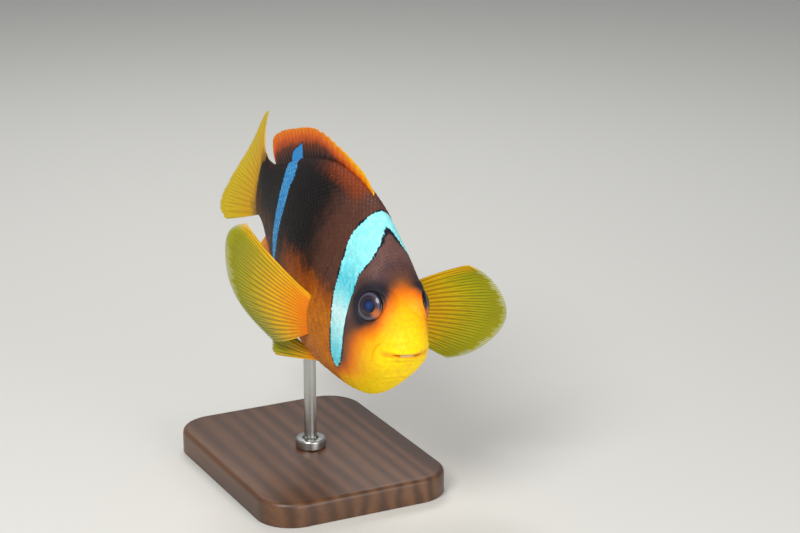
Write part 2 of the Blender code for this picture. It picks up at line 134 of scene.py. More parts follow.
# Fins, as in their solids
FIN_ROOT_DEPTH = 0.022
DORSAL = {
    "edge": BACK, "first": 0.295, "last": 0.87, "spines": 10, "spines_end": 0.60, "rays": 16,
    "tip_station": [(0.295, 0.300), (0.40, 0.420), (0.58, 0.625), (0.70, 0.790), (0.78, 0.905),
                    (0.83, 0.945), (0.87, 0.925)],
    "tip_height": [(0.295, 0.296), (0.34, 0.317), (0.40, 0.328), (0.50, 0.334), (0.58, 0.330),
                   (0.64, 0.308), (0.70, 0.272), (0.78, 0.215), (0.83, 0.178), (0.87, 0.148)],
}
ANAL = {
    "edge": BELLY, "first": 0.64, "last": 0.86, "spines": 2, "spines_end": 0.665, "rays": 13,
    "tip_station": [(0.64, 0.68), (0.70, 0.80), (0.76, 0.885), (0.82, 0.925), (0.86, 0.915)],
    "tip_height": [(0.64, -0.214), (0.70, -0.262), (0.76, -0.250), (0.82, -0.190), (0.86, -0.118)],
}
SPINE_NOTCH = 0.05
TAIL_RAYS = 17
TAIL_ROOT_STATION = 0.965
TAIL_ROOT_HALF_HEIGHT = 0.078
TAIL_TIP_STATION = 1.19
TAIL_TIP_HALF_HEIGHT = 0.165
PECTORAL_ROOTS = ((0.090, 0.330, -0.008), (0.088, 0.345, -0.105))
PECTORAL_RAYS = 19
PELVIC_ROOTS = ((0.026, 0.345, -0.190), (0.020, 0.400, -0.196))
PELVIC_RAYS = 6

# The stand, in metres
GAP = 0.0003
BASE_CORNER = 0.009
BASE_TOP_BEVEL = 0.0012
BASE_FOOT_BEVEL = 0.0003
COLLAR_CORNER = 0.0005


def linear(colour):
    """A six-digit sRGB hex colour as linear red, green, blue and full alpha."""
    shares = [int(colour[i:i + 2], 16) / 255 for i in (0, 2, 4)]
    return (*[c / 12.92 if c <= 0.04045 else ((c + 0.055) / 1.055) ** 2.4 for c in shares], 1.0)


def colour_property(name, description, colour):
    return FloatVectorProperty(name=name, description=description, default=linear(colour), size=4,
                               subtype="COLOR", min=0.0, max=1.0)


def number_property(name, description, default, **limits):
    return FloatProperty(name=name, description=description, default=default, **limits)


def count_property(name, description, default, low, high):
    return IntProperty(name=name, description=description, default=default, min=low, max=high)


class FishBodySettings(bpy.types.PropertyGroup):
    """Sizes and colours of the skin."""
    columns: count_property("Columns", "Skin faces round the body", 220, 60, 400)
    rings: count_property("Rings", "Skin faces from lip to tail, closest at the lip", 260, 60, 400)
    coat_depth: number_property("Coat depth", "How far the skin lies under the scales", 0.0003,
                                unit="LENGTH")
    face: colour_property("Face", "Lemon yellow of the snout, lips and jaw", "F6D406")
    cheek: colour_property("Cheek", "Orange of the cheeks and the throat", "EA8608")
    forehead: colour_property("Forehead", "Purple-brown between the eyes and the first bar", "6A4A44")
    flank: colour_property("Flank", "Blackish brown of the upper side", "130F0E")
    # The shoulder's warm brown is partly the fish's own brown and partly a painted sheen of light on the
    # upper front flank
    shoulder: colour_property("Shoulder", "Warm brown behind the first bar", "5A362A")
    belly: colour_property("Belly", "Burnt orange of the lower side", "A2500A")
    head_bar: colour_property("Head bar", "Pale cyan of the first bar", "92F3F4")
    body_bar: colour_property("Body bar", "Blue of the second bar", "1E78BE")
    bar_edge: colour_property("Bar edge", "Blue-black line round both bars", "121624")


class FishScaleSettings(bpy.types.PropertyGroup):
    """Sizes of the scale coat."""
    head_columns: count_property("Head columns", "Scales in one row round the head", 112, 40, 200)
    body_columns: count_property("Trunk columns", "Scales in one row round the trunk", 84, 40, 160)
    tail_columns: count_property("Tail columns", "Scales in one row round the root of the tail", 56, 20, 120)
    row_spacing: number_property("Row spacing", "Distance between rows as a share of a scale's width", 0.8,
                                 min=0.5, max=1.2)
    rise: number_property("Rise", "Rise over one row as a share of a scale's width", 0.085, min=0.0, max=0.2)
    seed: count_property("Seed", "Start of the small differences between scales", 7, 0, 1000)


class FishFinSettings(bpy.types.PropertyGroup):
    """Thicknesses and colours of the fins."""
    membrane: number_property("Membrane", "Thickness of the web between rays", 0.00014, unit="LENGTH")
    ray: number_property("Ray", "Thickness that a ray adds at its root", 0.00032, unit="LENGTH")
    root: number_property("Root", "Thickness that the flesh adds at the fin's root", 0.0009, unit="LENGTH")
    inner: colour_property("Inner", "Orange of the paired fins at the root", "F0740A")
    middle: colour_property("Middle", "Golden yellow of the paired fins", "ECB00A")
    outer: colour_property("Outer", "Olive yellow of their margins", "9E9C10")
    gap: colour_property("Gap", "Dark olive lines between the rays", "5E4C06")
    margin: colour_property("Margin", "Orange margin of the dorsal fin", "FA9408")
    tail: colour_property("Tail", "Golden yellow of the tail fin", "DCA60C")


class FishEyeSettings(bpy.types.PropertyGroup):
    """Share of the pupil and colours of the eye."""
    pupil: number_property("Pupil", "Pupil's width as a share of the eye's", 0.46, min=0.2, max=0.8)
    deep: colour_property("Lens", "Blue-black of the lens", "101E40")
    iris: colour_property("Iris", "Purple-brown of the iris", "261E26")
    bronze: colour_property("Bronze", "Bronze of the iris low in front", "B0602E")
    rim: colour_property("Rim", "Lilac grey of the rim", "544E62")


class FishStandSettings(bpy.types.PropertyGroup):
    """Finish of the display stand."""
    wood: colour_property("Wood", "Heartwood of oiled walnut", "5A3A24")
    grain: colour_property("Grain", "Dark lines of the walnut's rings", "2E1B10")
    steel: colour_property("Steel", "Brushed stainless steel", "B8B8B4")


class FishStageSettings(bpy.types.PropertyGroup):
    """Floor, lights and camera."""
    floor: colour_property("Floor", "Pale grey floor", "DCDAD4")
    key: number_property("Key light", "Power of the soft light above the camera", 1.85, unit="POWER")
    fill: number_property("Fill light", "Power of the light on the shadow side", 1.5, unit="POWER")
    back: number_property("Back light", "Power of the light behind the fish", 1.0, unit="POWER")
    ambient: number_property("Ambient", "Strength of the light from all round", 0.32, min=0.0)
    lens: number_property("Lens", "Focal length of the camera", 0.1038, unit="LENGTH")
    distance: number_property("Distance", "From the lip to the camera", 0.511, unit="LENGTH")
    azimuth: number_property("Azimuth", "Camera's direction round the fish", radians(-27), subtype="ANGLE")
    elevation: number_property("Elevation", "Camera's height over the horizon", radians(20), subtype="ANGLE")
    aim_left: number_property("Aim left", "How far left of the lip the camera looks", radians(0.211),
                              subtype="ANGLE")
    aim_up: number_property("Aim up", "How far above the lip the camera looks", radians(2.198),
                            subtype="ANGLE")


# ---- Curves and places on the body ----

def smooth(knots, at):
    """Read a smooth curve through (place, value) knots at many places."""
    xs, ys = np.array(knots, float).T
    widths = np.diff(xs)
    slopes = np.diff(ys) / widths
    inner = (slopes[:-1] * widths[1:] + slopes[1:] * widths[:-1]) / (widths[1:] + widths[:-1])
    tangents = np.concatenate((slopes[:1], inner, slopes[-1:]))
    at = np.clip(at, xs[0], xs[-1])
    i = np.clip(np.searchsorted(xs, at, side="right") - 1, 0, len(widths) - 1)
    t = (at - xs[i]) / widths[i]
    rise = (ys[i + 1] - ys[i]) * (3 * t ** 2 - 2 * t ** 3)
    start = (t ** 3 - 2 * t ** 2 + t) * tangents[i]
    end = (t ** 3 - t ** 2) * tangents[i + 1]
    return ys[i] + rise + (start + end) * widths[i]


def along_body(knots, station):
    """Read a curve whose knots are stations; the root spacing rounds off the snout."""
    rooted = [(place ** 0.5, value) for place, value in knots]
    return smooth(rooted, np.sqrt(np.maximum(station, 0.0)))


def ease(value, low, high):
    """Zero up to low, one from high on, and smooth between."""
    t = np.clip((value - low) / (high - low), 0.0, 1.0)
    return t * t * (3 - 2 * t)


def hump(distance, width):
    """One at distance zero, falling away over about the width."""
    return np.exp(-(distance / width) ** 2)


def signed_power(value, power):
    return np.sign(value) * np.abs(value) ** power


def direction(azimuth, elevation):
    """A direction from straight ahead of the fish, turned to its left and lifted."""
    return (sin(azimuth) * cos(elevation), -cos(azimuth) * cos(elevation), sin(elevation))


def section(station, angle):
    """Side and height of the body's surface, at an angle from the back over the left side."""
    above = np.cos(angle) >= 0
    level = along_body(WIDEST_LEVEL, station)
    edge = np.where(above, along_body(BACK, station), along_body(BELLY, station))
    roundness = np.where(above, along_body(ROUNDNESS_ABOVE, station),
                         along_body(ROUNDNESS_BELOW, station))
    side = along_body(HALF_WIDTH, station) * signed_power(np.sin(angle), 2 / roundness)
    height = level + np.abs(edge - level) * signed_power(np.cos(angle), 2 / roundness)
    brow = hump(station - BROW["station"], BROW["length"])
    brow = brow * hump(height - BROW["height"], BROW["depth"])
    return side + BROW["rise"] * brow * np.tanh(side / 0.03), height


def bent(side, station, height):
    """Places of the straight fish on the bent one, in metres."""
    beyond = np.maximum(station - BEND_START, 0.0)
    turn = np.arctan(2 * BEND_RATE * beyond)
    x = BEND_RATE * beyond ** 2 + side * np.cos(turn)
    y = station - side * np.sin(turn)
    return np.stack(np.broadcast_arrays(x, y, height), -1) * STANDARD_LENGTH


TILT = np.array(Matrix.Rotation(NOSE_DOWN, 3, "X") @ Matrix.Rotation(LEFT_SIDE_DOWN, 3, "Y"))
ROD_TOP = np.array((0.0, 0.0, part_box("stand_base")[1].z + ROD_CLEAR_HEIGHT))
LIP = ROD_TOP - TILT @ bent(*np.insert(section(ROD_STATION, pi), 1, ROD_STATION))


def on_stand(points):
    """Turn places in the fish's frame, in metres, into places over the stand."""
    return points @ TILT.T + LIP


GIRTH_STATIONS = 161
GIRTH_STEPS = 721


def measure_girth():
    """Angles at even steps round the body, and the way round it, from lip to tail."""
    stations = np.linspace(0, 1, GIRTH_STATIONS)[:, None] ** 2
    stations[0] = 1e-6
    angles = np.linspace(-pi, pi, 2 * GIRTH_STEPS)
    side, height = section(stations, angles[None, :])
    run = np.cumsum(np.hypot(np.diff(side), np.diff(height)), axis=1)
    run = np.pad(run, ((0, 0), (1, 0)))
    even = np.linspace(0, 1, GIRTH_STEPS)
    table = np.array([np.interp(even, row / row[-1], angles) for row in run])
    return table, run[:, -1]


GIRTH_ANGLES, GIRTH_LENGTHS = measure_girth()


def girth_length(station):
    """The way round the body, in standard lengths."""
    row = np.sqrt(np.clip(station, 0, 1)) * (GIRTH_STATIONS - 1)
    return np.interp(row, np.arange(GIRTH_STATIONS), GIRTH_LENGTHS)


def straight(station, girth):
    """Side and height of a place on the straight fish."""
    row = np.sqrt(np.clip(station, 0, 1)) * (GIRTH_STATIONS - 1)
    column = (girth % 1.0) * (GIRTH_STEPS - 1)
    i = np.minimum(row.astype(int), GIRTH_STATIONS - 2)
    j = np.minimum(column.astype(int), GIRTH_STEPS - 2)
    s = row - i
    t = column - j
    near = GIRTH_ANGLES[i, j] * (1 - t) + GIRTH_ANGLES[i, j + 1] * t
    far = GIRTH_ANGLES[i + 1, j] * (1 - t) + GIRTH_ANGLES[i + 1, j + 1] * t
    return section(station, near * (1 - s) + far * s)


def plain_surface(station, girth):
    side, height = straight(station, girth)
    return bent(side, station, height)


def outward(station, girth):
    """Directions that point straight out of the body's plain surface."""
    here = plain_surface(station, girth)
    back = plain_surface(station + 2e-4, girth) - here
    round_ = plain_surface(station, girth + 2e-4) - here
    normal = np.cross(round_, back)
    size = np.linalg.norm(normal, axis=-1, keepdims=True)
    flat = size[..., 0] < 1e-14
    normal[flat] = (0.0, -1.0, 0.0)
    size[flat] = 1.0
    return normal / size


def from_eye(side, station, height):
    """Distance from the nearer eye's line of sight and height over its rim, in standard lengths."""
    axis = np.array(EYE_AXIS) / np.linalg.norm(EYE_AXIS)
    place = np.stack(np.broadcast_arrays(np.abs(side), station, height), -1) - EYE_CENTRE
    above = place @ axis
    return np.sqrt(np.maximum((place ** 2).sum(-1) - above ** 2, 0.0)), above


def scaled_share(side, station, height):
    """Where scales grow: zero on the bare face, one on the rest."""
    start = smooth(SCALES_START, height)
    clear_of_eye = ease(from_eye(side, station, height)[0], 0.050, 0.060)
    return ease(station, start, start + 0.03) * np.where(station < 0.2, clear_of_eye, 1.0)


def relief(side, station, height):
    """How far the skin stands out from the plain body, in standard lengths."""
    across = np.abs(side)
    front = station < 0.12

    # The mouth: a slit between two rounded lips that thin out towards its corners
    over = height - MOUTH_LEVEL - 3.0 * np.maximum(across - 0.020, 0.0) ** 2
    in_mouth = 1 - ease(across, 0.018, MOUTH_HALF_WIDTH + 0.006)
    opening = MOUTH_HALF_OPENING * np.sqrt(np.clip(1 - (across / MOUTH_HALF_WIDTH) ** 2, 0.03, 1))
    lips = 0.0046 * hump(over - 0.0080, 0.0060) + 0.0042 * hump(over + 0.0080, 0.0060)
    folds = -0.0008 * hump(height - 0.027 + 4.0 * side ** 2, 0.0035)
    folds -= 0.0018 * hump(over + 0.020, 0.0032)
    out = (lips + folds) * in_mouth * (1 - ease(station, 0.035, 0.05))
    slit = (1 - ease(across, MOUTH_HALF_WIDTH - 0.004, MOUTH_HALF_WIDTH + 0.003))
    slit = slit * (1 - ease(station, 0.02, 0.03))
    out -= 0.014 * np.exp(-(over / opening) ** 4) * slit

    # The hind edge of the upper jaw: a curved crease behind the corner of the mouth
    jaw = station - smooth(JAW_CREASE, height)
    behind = ease(across, 0.045, 0.055) * ease(height, -0.045, -0.030)
    behind = behind * (1 - ease(height, 0.014, 0.024))
    out += (0.0022 * hump(jaw + 0.007, 0.006) - 0.0034 * hump(jaw, 0.0017)) * behind

    # The chin: a rounded ball with a crease before the throat
    below = ease(-height, 0.055, 0.075) * (1 - ease(across, 0.022, 0.040))
    fold = station - 0.034 - 14 * side ** 2
    out += (0.0036 * hump(fold + 0.014, 0.010) - 0.0075 * hump(fold, 0.0030)) * below

    # Nostrils, and the folds round the eyes
    nostril = np.hypot(station - 0.046, height - 0.060)
    out += np.where(front, 0.0012 * hump(nostril - 0.0040, 0.0020) - 0.004 * hump(nostril, 0.0022), 0)
    eye, above = from_eye(side, station, height)
    near_eye = (station < 0.2) & (height > 0)
    orbit = 0.0034 * hump(eye - 0.0408, 0.0036) - 0.0016 * hump(eye - 0.0360, 0.0018)
    orbit -= 0.8 * above * (1 - ease(eye, 0.036, 0.060))
    out += np.where(near_eye, orbit, 0)

    # Edges of the cheek and the gill cover
    on_side = ease(across, 0.03, 0.06)
    cheek = station - smooth(CHEEK_EDGE, height)
    low = (1 - ease(height, 0.02, 0.06)) * ease(height, -0.14, -0.11)
    out += (0.0012 * hump(cheek + 0.008, 0.008) - 0.0024 * hump(cheek, 0.0028)) * low * on_side
    gill = station - smooth(GILL_COVER_EDGE, height)
    plate = ease(gill, -0.07, -0.008) * (1 - ease(gill, -0.0015, 0.0015))
    flap = 0.0045 * plate - 0.0030 * hump(gill - 0.004, 0.004)
    out += flap * ease(height, -0.17, -0.13) * (1 - ease(height, 0.12, 0.16))

    # The fleshy lobes that carry the pectoral fins
    out += 0.007 * hump(station - 0.333, 0.020) * hump(height + 0.056, 0.060) * on_side
    return out


def markings(side, station, height):
    """Signed distances inside the two bars, and how far into the dark of the head a place is."""
    head_bar = np.minimum(station - smooth(HEAD_BAR_FRONT, height),
                          smooth(HEAD_BAR_REAR, height) - station)
    body_bar = np.minimum(station - smooth(BODY_BAR_FRONT, height),
                          smooth(BODY_BAR_REAR, height) - station)
    across = side - MASK_SIDE
    forehead = height - (0.147 - 9 * across ** 2)
    inward = np.maximum(0.077 - np.abs(across), 0)
    cheek = 0.7 * (station - smooth(DARK_CHEEK, height) - 1.5 * inward)
    blend = 0.008
    dark = blend * np.log(np.exp(forehead / blend) + np.exp(cheek / blend))
    return np.stack(np.broadcast_arrays(head_bar, body_bar, np.minimum(dark, 0.2)), -1)


def tones(side, station, height):
    """Shares of shoulder brown, which is partly the fish's own brown and partly a painted sheen on the upper
    front flank, belly orange and back orange.
    """
    # Shoulder: brown high on the front flank behind the first bar, partly a painted sheen
    shoulder = (1 - ease(station, 0.27, 0.50)) * ease(height, -0.05, 0.12)
    # Belly orange; its highest share also lays a painted highlight of lighter orange low on the front flank
    low = (1 - ease(height, -0.03, 0.115)) * (1 - 0.75 * ease(station, 0.44, 0.64))
    low = low * (1 - (1 - ease(station, 0.195, 0.235)) * ease(height, -0.13, -0.09))
    edge = along_body(BACK, station) - height
    back = (1 - ease(edge, 0.0, 0.06)) * ease(station, 0.26, 0.34)
    back = back * (1 - 0.75 * ease(station, 0.40, 0.62))
    return np.stack(np.broadcast_arrays(shoulder, low, back), -1)


# ---- Meshes and materials ----

def store(mesh, name, values):
    """Keep a number or a vector for each vertex."""
    values = np.asarray(values, np.float32)
    plain = values.ndim == 1
    layer = mesh.attributes.new(name, "FLOAT" if plain else "FLOAT_VECTOR", "POINT")
    layer.data.foreach_set("value" if plain else "vector", values.ravel())


def vertex_places(mesh):
    places = np.empty(len(mesh.vertices) * 3, np.float32)
    mesh.vertices.foreach_get("co", places)
    return places.reshape(-1, 3).astype(float)


def move_vertices(mesh, places):
    mesh.vertices.foreach_set("co", np.asarray(places, np.float32).ravel())
    mesh.update()


def bake_map(mesh, places):
    """Lay the bake's map by one place per vertex."""
    corners = np.empty(len(mesh.loops), np.int32)
    mesh.loops.foreach_get("vertex_index", corners)
    layer = mesh.uv_layers.new(name="OFBake")
    layer.uv.foreach_set("vector", np.asarray(places, np.float32)[corners].ravel())


def unit_grid(columns, rows):
    """A flat grid over the unit square."""
    bm = bmesh.new()
    bmesh.ops.create_grid(bm, x_segments=columns, y_segments=rows, size=0.5)
    bmesh.ops.translate(bm, vec=(0.5, 0.5, 0.0), verts=bm.verts)
    return bm


def to_mesh(name, bm):
    """Turn a bmesh into a smooth-shaded mesh."""
    mesh = bpy.data.meshes.new(name)
    bm.to_mesh(mesh)
    bm.free()
    mesh.shade_smooth()
    return mesh


def turned(name, outline, steps, closed=False):
    """A mesh turned round the upright axis, from the (radius, height) points of its outline."""
    bm = bmesh.new()
    verts = [bm.verts.new((radius, 0.0, height)) for radius, height in outline]
    ends = verts[1:] + verts[:1] if closed else verts[1:]
    edges = [bm.edges.new(pair) for pair in zip(verts, ends)]
    bmesh.ops.spin(bm, geom=verts + edges, cent=(0, 0, 0), axis=(0, 0, 1), angle=2 * pi,
                   steps=steps, use_merge=True)
    bmesh.ops.remove_doubles(bm, verts=bm.verts, dist=1e-7)
    bmesh.ops.recalc_face_normals(bm, faces=bm.faces)
    return to_mesh(name, bm)


def new_object(name, data):
    """An object in the scene's own collection."""
    made = bpy.data.objects.new(name, data)
    bpy.context.scene.collection.objects.link(made)
    return made


def add_piece(name, mesh, finish, slot, *nodes):
    """Link a finished mesh as a piece that rides on the model and may stand for solids."""
    mesh.materials.append(finish)
    piece = new_object(name, mesh)
    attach(piece, "root")
    if nodes:
        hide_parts(*nodes)
    return piece


def add(tree, kind, inputs=None, stops=None, **settings):
    """Add a node; an input takes a value or a socket, and a ramp takes (place, colour) stops."""
    made = tree.nodes.new(f"ShaderNode{kind}")
    for name, value in settings.items():
        setattr(made, name, value)
    for i, (place, colour) in enumerate(stops or []):
        ramp = made.color_ramp.elements
        stop = ramp[i] if i < 2 else ramp.new(place)
        stop.position = place
        stop.color = colour
    for key, value in (inputs or {}).items():
        if isinstance(value, bpy.types.NodeSocket):
            tree.links.new(value, made.inputs[key])
        else:
            made.inputs[key].default_value = value
    return made


def per_mm(size):
    """A noise scale whose features are about this many millimetres across."""
    return 1000 / size


def new_material(name, **values):
    """A Principled material with values on the shader's own sockets, and its node tree."""
    made = bpy.data.materials.new(name)
    made.use_nodes = True
    shader = made.node_tree.nodes["Principled BSDF"]
    for socket, value in values.items():
        shader.inputs[socket.replace("_", " ")].default_value = value
    return made, made.node_tree


def finished(made, bump=None, **outputs):
    """Lead outputs into a material's shader, and a bump from (height, distance, strength)."""
    tree = made.node_tree
    shader = tree.nodes["Principled BSDF"]
    for socket, output in outputs.items():
        tree.links.new(output, shader.inputs[socket.replace("_", " ")])
    if bump:
        bumps = add(tree, "Bump", dict(zip(("Height", "Distance", "Strength"), bump)))
        tree.links.new(bumps.outputs[0], shader.inputs["Normal"])
    return made


# Sockets of the colour Mix node
FACTOR, FIRST, SECOND, MIXED = 0, 6, 7, 2


def fish_skin(settings):
    """Lacquered fish skin: satin and slightly wet, its colours run into each other in fine mottling."""
    made, tree = new_material("lacquered fish skin", Roughness=0.55, Coat_Weight=0.04,
                              Coat_Roughness=0.25, Specular_IOR_Level=0.16, Subsurface_Weight=0.06,
                              Subsurface_Radius=(1.0, 0.45, 0.2), Subsurface_Scale=0.0006)
    place = add(tree, "TexCoord").outputs["Object"]
    vectors = [add(tree, "Attribute", attribute_name=name).outputs["Vector"]
               for name in ("place", "marks", "tones")]
    spot, marks, tone = [add(tree, "SeparateXYZ", {0: vector}).outputs for vector in vectors]
    grain, eye = [add(tree, "Attribute", attribute_name=name).outputs["Fac"] for name in ("grain", "eye")]

    # Noises about zero: broad clouds, fine grain, blots, and streaks that run back and down
    drawn = add(tree, "Mapping", {0: vectors[0], 2: (radians(-34), 0.0, 0.0), 3: (1.0, 0.010, 0.08)},
                vector_type="TEXTURE").outputs[0]
    noises = []
    for at, scale, detail in ((place, per_mm(3.0), 4.0), (place, per_mm(0.5), 3.0),
                              (place, per_mm(1.1), 2.0), (drawn, 1.0, 3.0)):
        noise = add(tree, "TexNoise", {"Vector": at, "Scale": scale, "Detail": detail}).outputs[0]
        noises.append(add(tree, "Math", {0: noise, 1: 0.5}, operation="SUBTRACT").outputs[0])
    soft, fine, blot, streak = noises

    # Values that noise pushes up and down, so that no colour ends in a drawn line
    near_eye = add(tree, "MapRange", {0: eye, 1: 0.084, 2: 0.046},
                   interpolation_type="SMOOTHSTEP").outputs[0]
    pushed = []
    for value, pushes in (
            (marks[2], ((soft, 0.016), (fine, 0.005))),
            (blot, ((fine, 0.6),)),
            (near_eye, ((fine, 0.2),)),
            (tone[0], ((soft, 0.5),)),
            (tone[1], ((soft, 0.4), (streak, 0.7), (fine, 0.15))),
            (tone[2], ((blot, 0.4), (streak, 0.5))),
            (spot[2], ((fine, 0.05),)),
            (fine, ((blot, 0.5),)),
            (marks[0], ((blot, 0.0045), (fine, 0.0018))),
            (marks[1], ((blot, 0.0045), (fine, 0.0018)))):
        for noise, amount in pushes:
            value = add(tree, "Math", {0: noise, 1: amount, 2: value},
                        operation="MULTIPLY_ADD").outputs[0]
        pushed.append(value)
    dark, mottle, near_eye, shoulder, low, back, level, blue, first_bar, second_bar = pushed

    # The head runs from yellow through orange to dark, the first bar through cyans by its height
    off_dark = add(tree, "Math", {0: dark, 1: 5.26, 2: 0.737}, operation="MULTIPLY_ADD").outputs[0]
    head = add(tree, "ValToRGB", {0: off_dark}, stops=[
        (0.15, settings.face), (1.0, settings.forehead), (0.36, linear("F4C406")),
        (0.50, linear("F4AE06")), (0.60, settings.cheek), (0.67, linear("CE6210")),
        (0.74, linear("8E5024")), (0.81, linear("603E32")), (0.90, linear("543A3A"))]).outputs[0]
    level = add(tree, "Math", {0: level, 1: 2.5, 2: 0.325}, operation="MULTIPLY_ADD").outputs[0]
    cyan = add(tree, "ValToRGB", {0: level}, stops=[
        (0.0, linear("52D2E2")), (1.0, settings.head_bar), (0.12, linear("5CD8E8")),
        (0.25, linear("A4EFF0")), (0.38, linear("D6FAFA")), (0.49, linear("84E6EE")),
        (0.57, linear("34CCE0")), (0.66, linear("74E6EE")), (0.75, linear("90F2F4"))]).outputs[0]

    # Colours laid over others: from none of one at a value to the most of it at another value
    off_mouth = add(tree, "Math", {0: spot[2], 1: MOUTH_LEVEL}, operation="SUBTRACT").outputs[0]
    off_mouth = add(tree, "Math", {0: off_mouth}, operation="ABSOLUTE").outputs[0]
    front = add(tree, "MapRange", {0: spot[1], 1: 0.028, 2: 0.015, 4: 0.55},
                interpolation_type="SMOOTHSTEP").outputs[0]
    colours = {"skin": head, "flecks": linear("E07A06"), "trunk": settings.flank,
               "head bar": cyan, "body bar": settings.body_bar}
    for under, value, none, full, most, over in (
            ("flecks", dark, -0.02, 0.02, 1.0, linear("4A2C2A")),
            ("skin", off_mouth, 0.010, 0.001, front, linear("D8601E")),
            ("skin", mottle, -0.15, 0.25, 0.25, "flecks"),
            ("skin", dark, -0.012, 0.012, near_eye, linear("231F26")),
            # Shoulder brown, partly a painted sheen on the upper front flank
            ("trunk", shoulder, 0.10, 1.00, 1.0, settings.shoulder),
            ("trunk", low, 0.10, 0.80, 1.0, settings.belly),
            # Painted highlight: lighter orange where the belly share is highest, low on the front flank
            ("trunk", low, 0.70, 1.15, 1.0, linear("C8740A")),
            ("trunk", back, 0.15, 1.00, 1.0, linear("82340A")),
            ("skin", spot[1], 0.185, 0.225, 1.0, "trunk"),
            ("head bar", blot, -0.15, 0.25, 0.35, linear("C8FAF8")),
            ("body bar", blue, -0.15, 0.20, 1.0, linear("56B4E8")),
            ("skin", first_bar, -0.0052, -0.0030, 1.0, settings.bar_edge),
            ("skin", first_bar, -0.0008, 0.0008, 1.0, "head bar"),
            ("skin", second_bar, -0.0052, -0.0030, 1.0, settings.bar_edge),
            ("skin", second_bar, -0.0008, 0.0008, 1.0, "body bar")):
        share = add(tree, "MapRange", {0: value, 1: none, 2: full, 4: most},
                    interpolation_type="SMOOTHSTEP").outputs[0]
        over = colours[over] if isinstance(over, str) else over
        colours[under] = add(tree, "Mix", {FACTOR: share, FIRST: colours[under], SECOND: over},
                             data_type="RGBA").outputs[MIXED]

    # Small differences from scale to scale
    light = add(tree, "Math", {0: grain, 1: 0.16, 2: 0.94}, operation="MULTIPLY_ADD").outputs[0]
    light = add(tree, "CombineColor", {0: light, 1: light, 2: light}).outputs[0]
    colour = add(tree, "Mix", {FACTOR: 1.0, FIRST: colours["skin"], SECOND: light},
                 data_type="RGBA", blend_type="MULTIPLY").outputs[MIXED]
    return finished(made, (fine, 0.00004, 0.35), Base_Color=colour)


def enamel(name, colour):
    """Tooth enamel: smooth, ivory and a little clear."""
    made, tree = new_material(name, Roughness=0.25, IOR=1.62, Subsurface_Weight=0.2,
                              Subsurface_Scale=0.0003)
    place = add(tree, "TexCoord").outputs["Object"]
    noise = add(tree, "TexNoise", {"Vector": place, "Scale": per_mm(0.3)}).outputs[0]
    tint = add(tree, "ValToRGB", {0: noise}, stops=[(0.3, linear(colour)), (0.7, linear("FFF6DC"))])
    return finished(made, Base_Color=tint.outputs[0])


def paired_fin_web(settings):
    """Fin web over rays: a thin satin film, orange to olive, with dark folds between the rays."""
    made, tree = new_material("paired fin web", Roughness=0.45, Coat_Weight=0.06,
                              Specular_IOR_Level=0.15, Subsurface_Weight=0.12,
                              Subsurface_Radius=(1.0, 0.8, 0.3), Subsurface_Scale=0.0005)
    place = add(tree, "TexCoord").outputs["Object"]
    fin = add(tree, "SeparateXYZ",
              {0: add(tree, "Attribute", attribute_name="fin").outputs["Vector"]}).outputs
    noise = add(tree, "TexNoise", {"Vector": place, "Scale": per_mm(1.6), "Detail": 4.0}).outputs[0]
    along = add(tree, "Math", {0: noise, 1: 0.24, 2: fin[1]}, operation="MULTIPLY_ADD").outputs[0]
    tint = add(tree, "ValToRGB", {0: along}, stops=[
        (0.12, settings.inner), (1.10, settings.outer), (0.34, linear("F08C04")),
        (0.56, settings.middle), (0.80, linear("BCA60C")), (0.95, linear("A6A210"))]).outputs[0]
    edge = add(tree, "MapRange", {0: fin[0], 1: 0.10, 2: 0.02, 4: 0.8}).outputs[0]
    tint = add(tree, "Mix", {FACTOR: edge, FIRST: tint, SECOND: linear("F2B40C")},
               data_type="RGBA").outputs[MIXED]
    fading = add(tree, "MapRange", {0: fin[1], 1: 0.12, 2: 0.45, 3: 0.15, 4: 0.46}).outputs[0]
    gaps = add(tree, "MapRange", {0: fin[2], 1: 0.30, 2: 0.03, 4: fading},
               interpolation_type="SMOOTHSTEP").outputs[0]
    tint = add(tree, "Mix", {FACTOR: gaps, FIRST: tint, SECOND: settings.gap},
               data_type="RGBA").outputs[MIXED]
    joints = add(tree, "Math", {0: fin[1], 1: 260.0}, operation="MULTIPLY").outputs[0]
    joints = add(tree, "Math", {0: joints}, operation="SINE").outputs[0]
    ring = add(tree, "Math", {0: joints, 1: fin[2]}, operation="MULTIPLY").outputs[0]
    return finished(made, (ring, 0.00003, 0.4), Base_Color=tint)


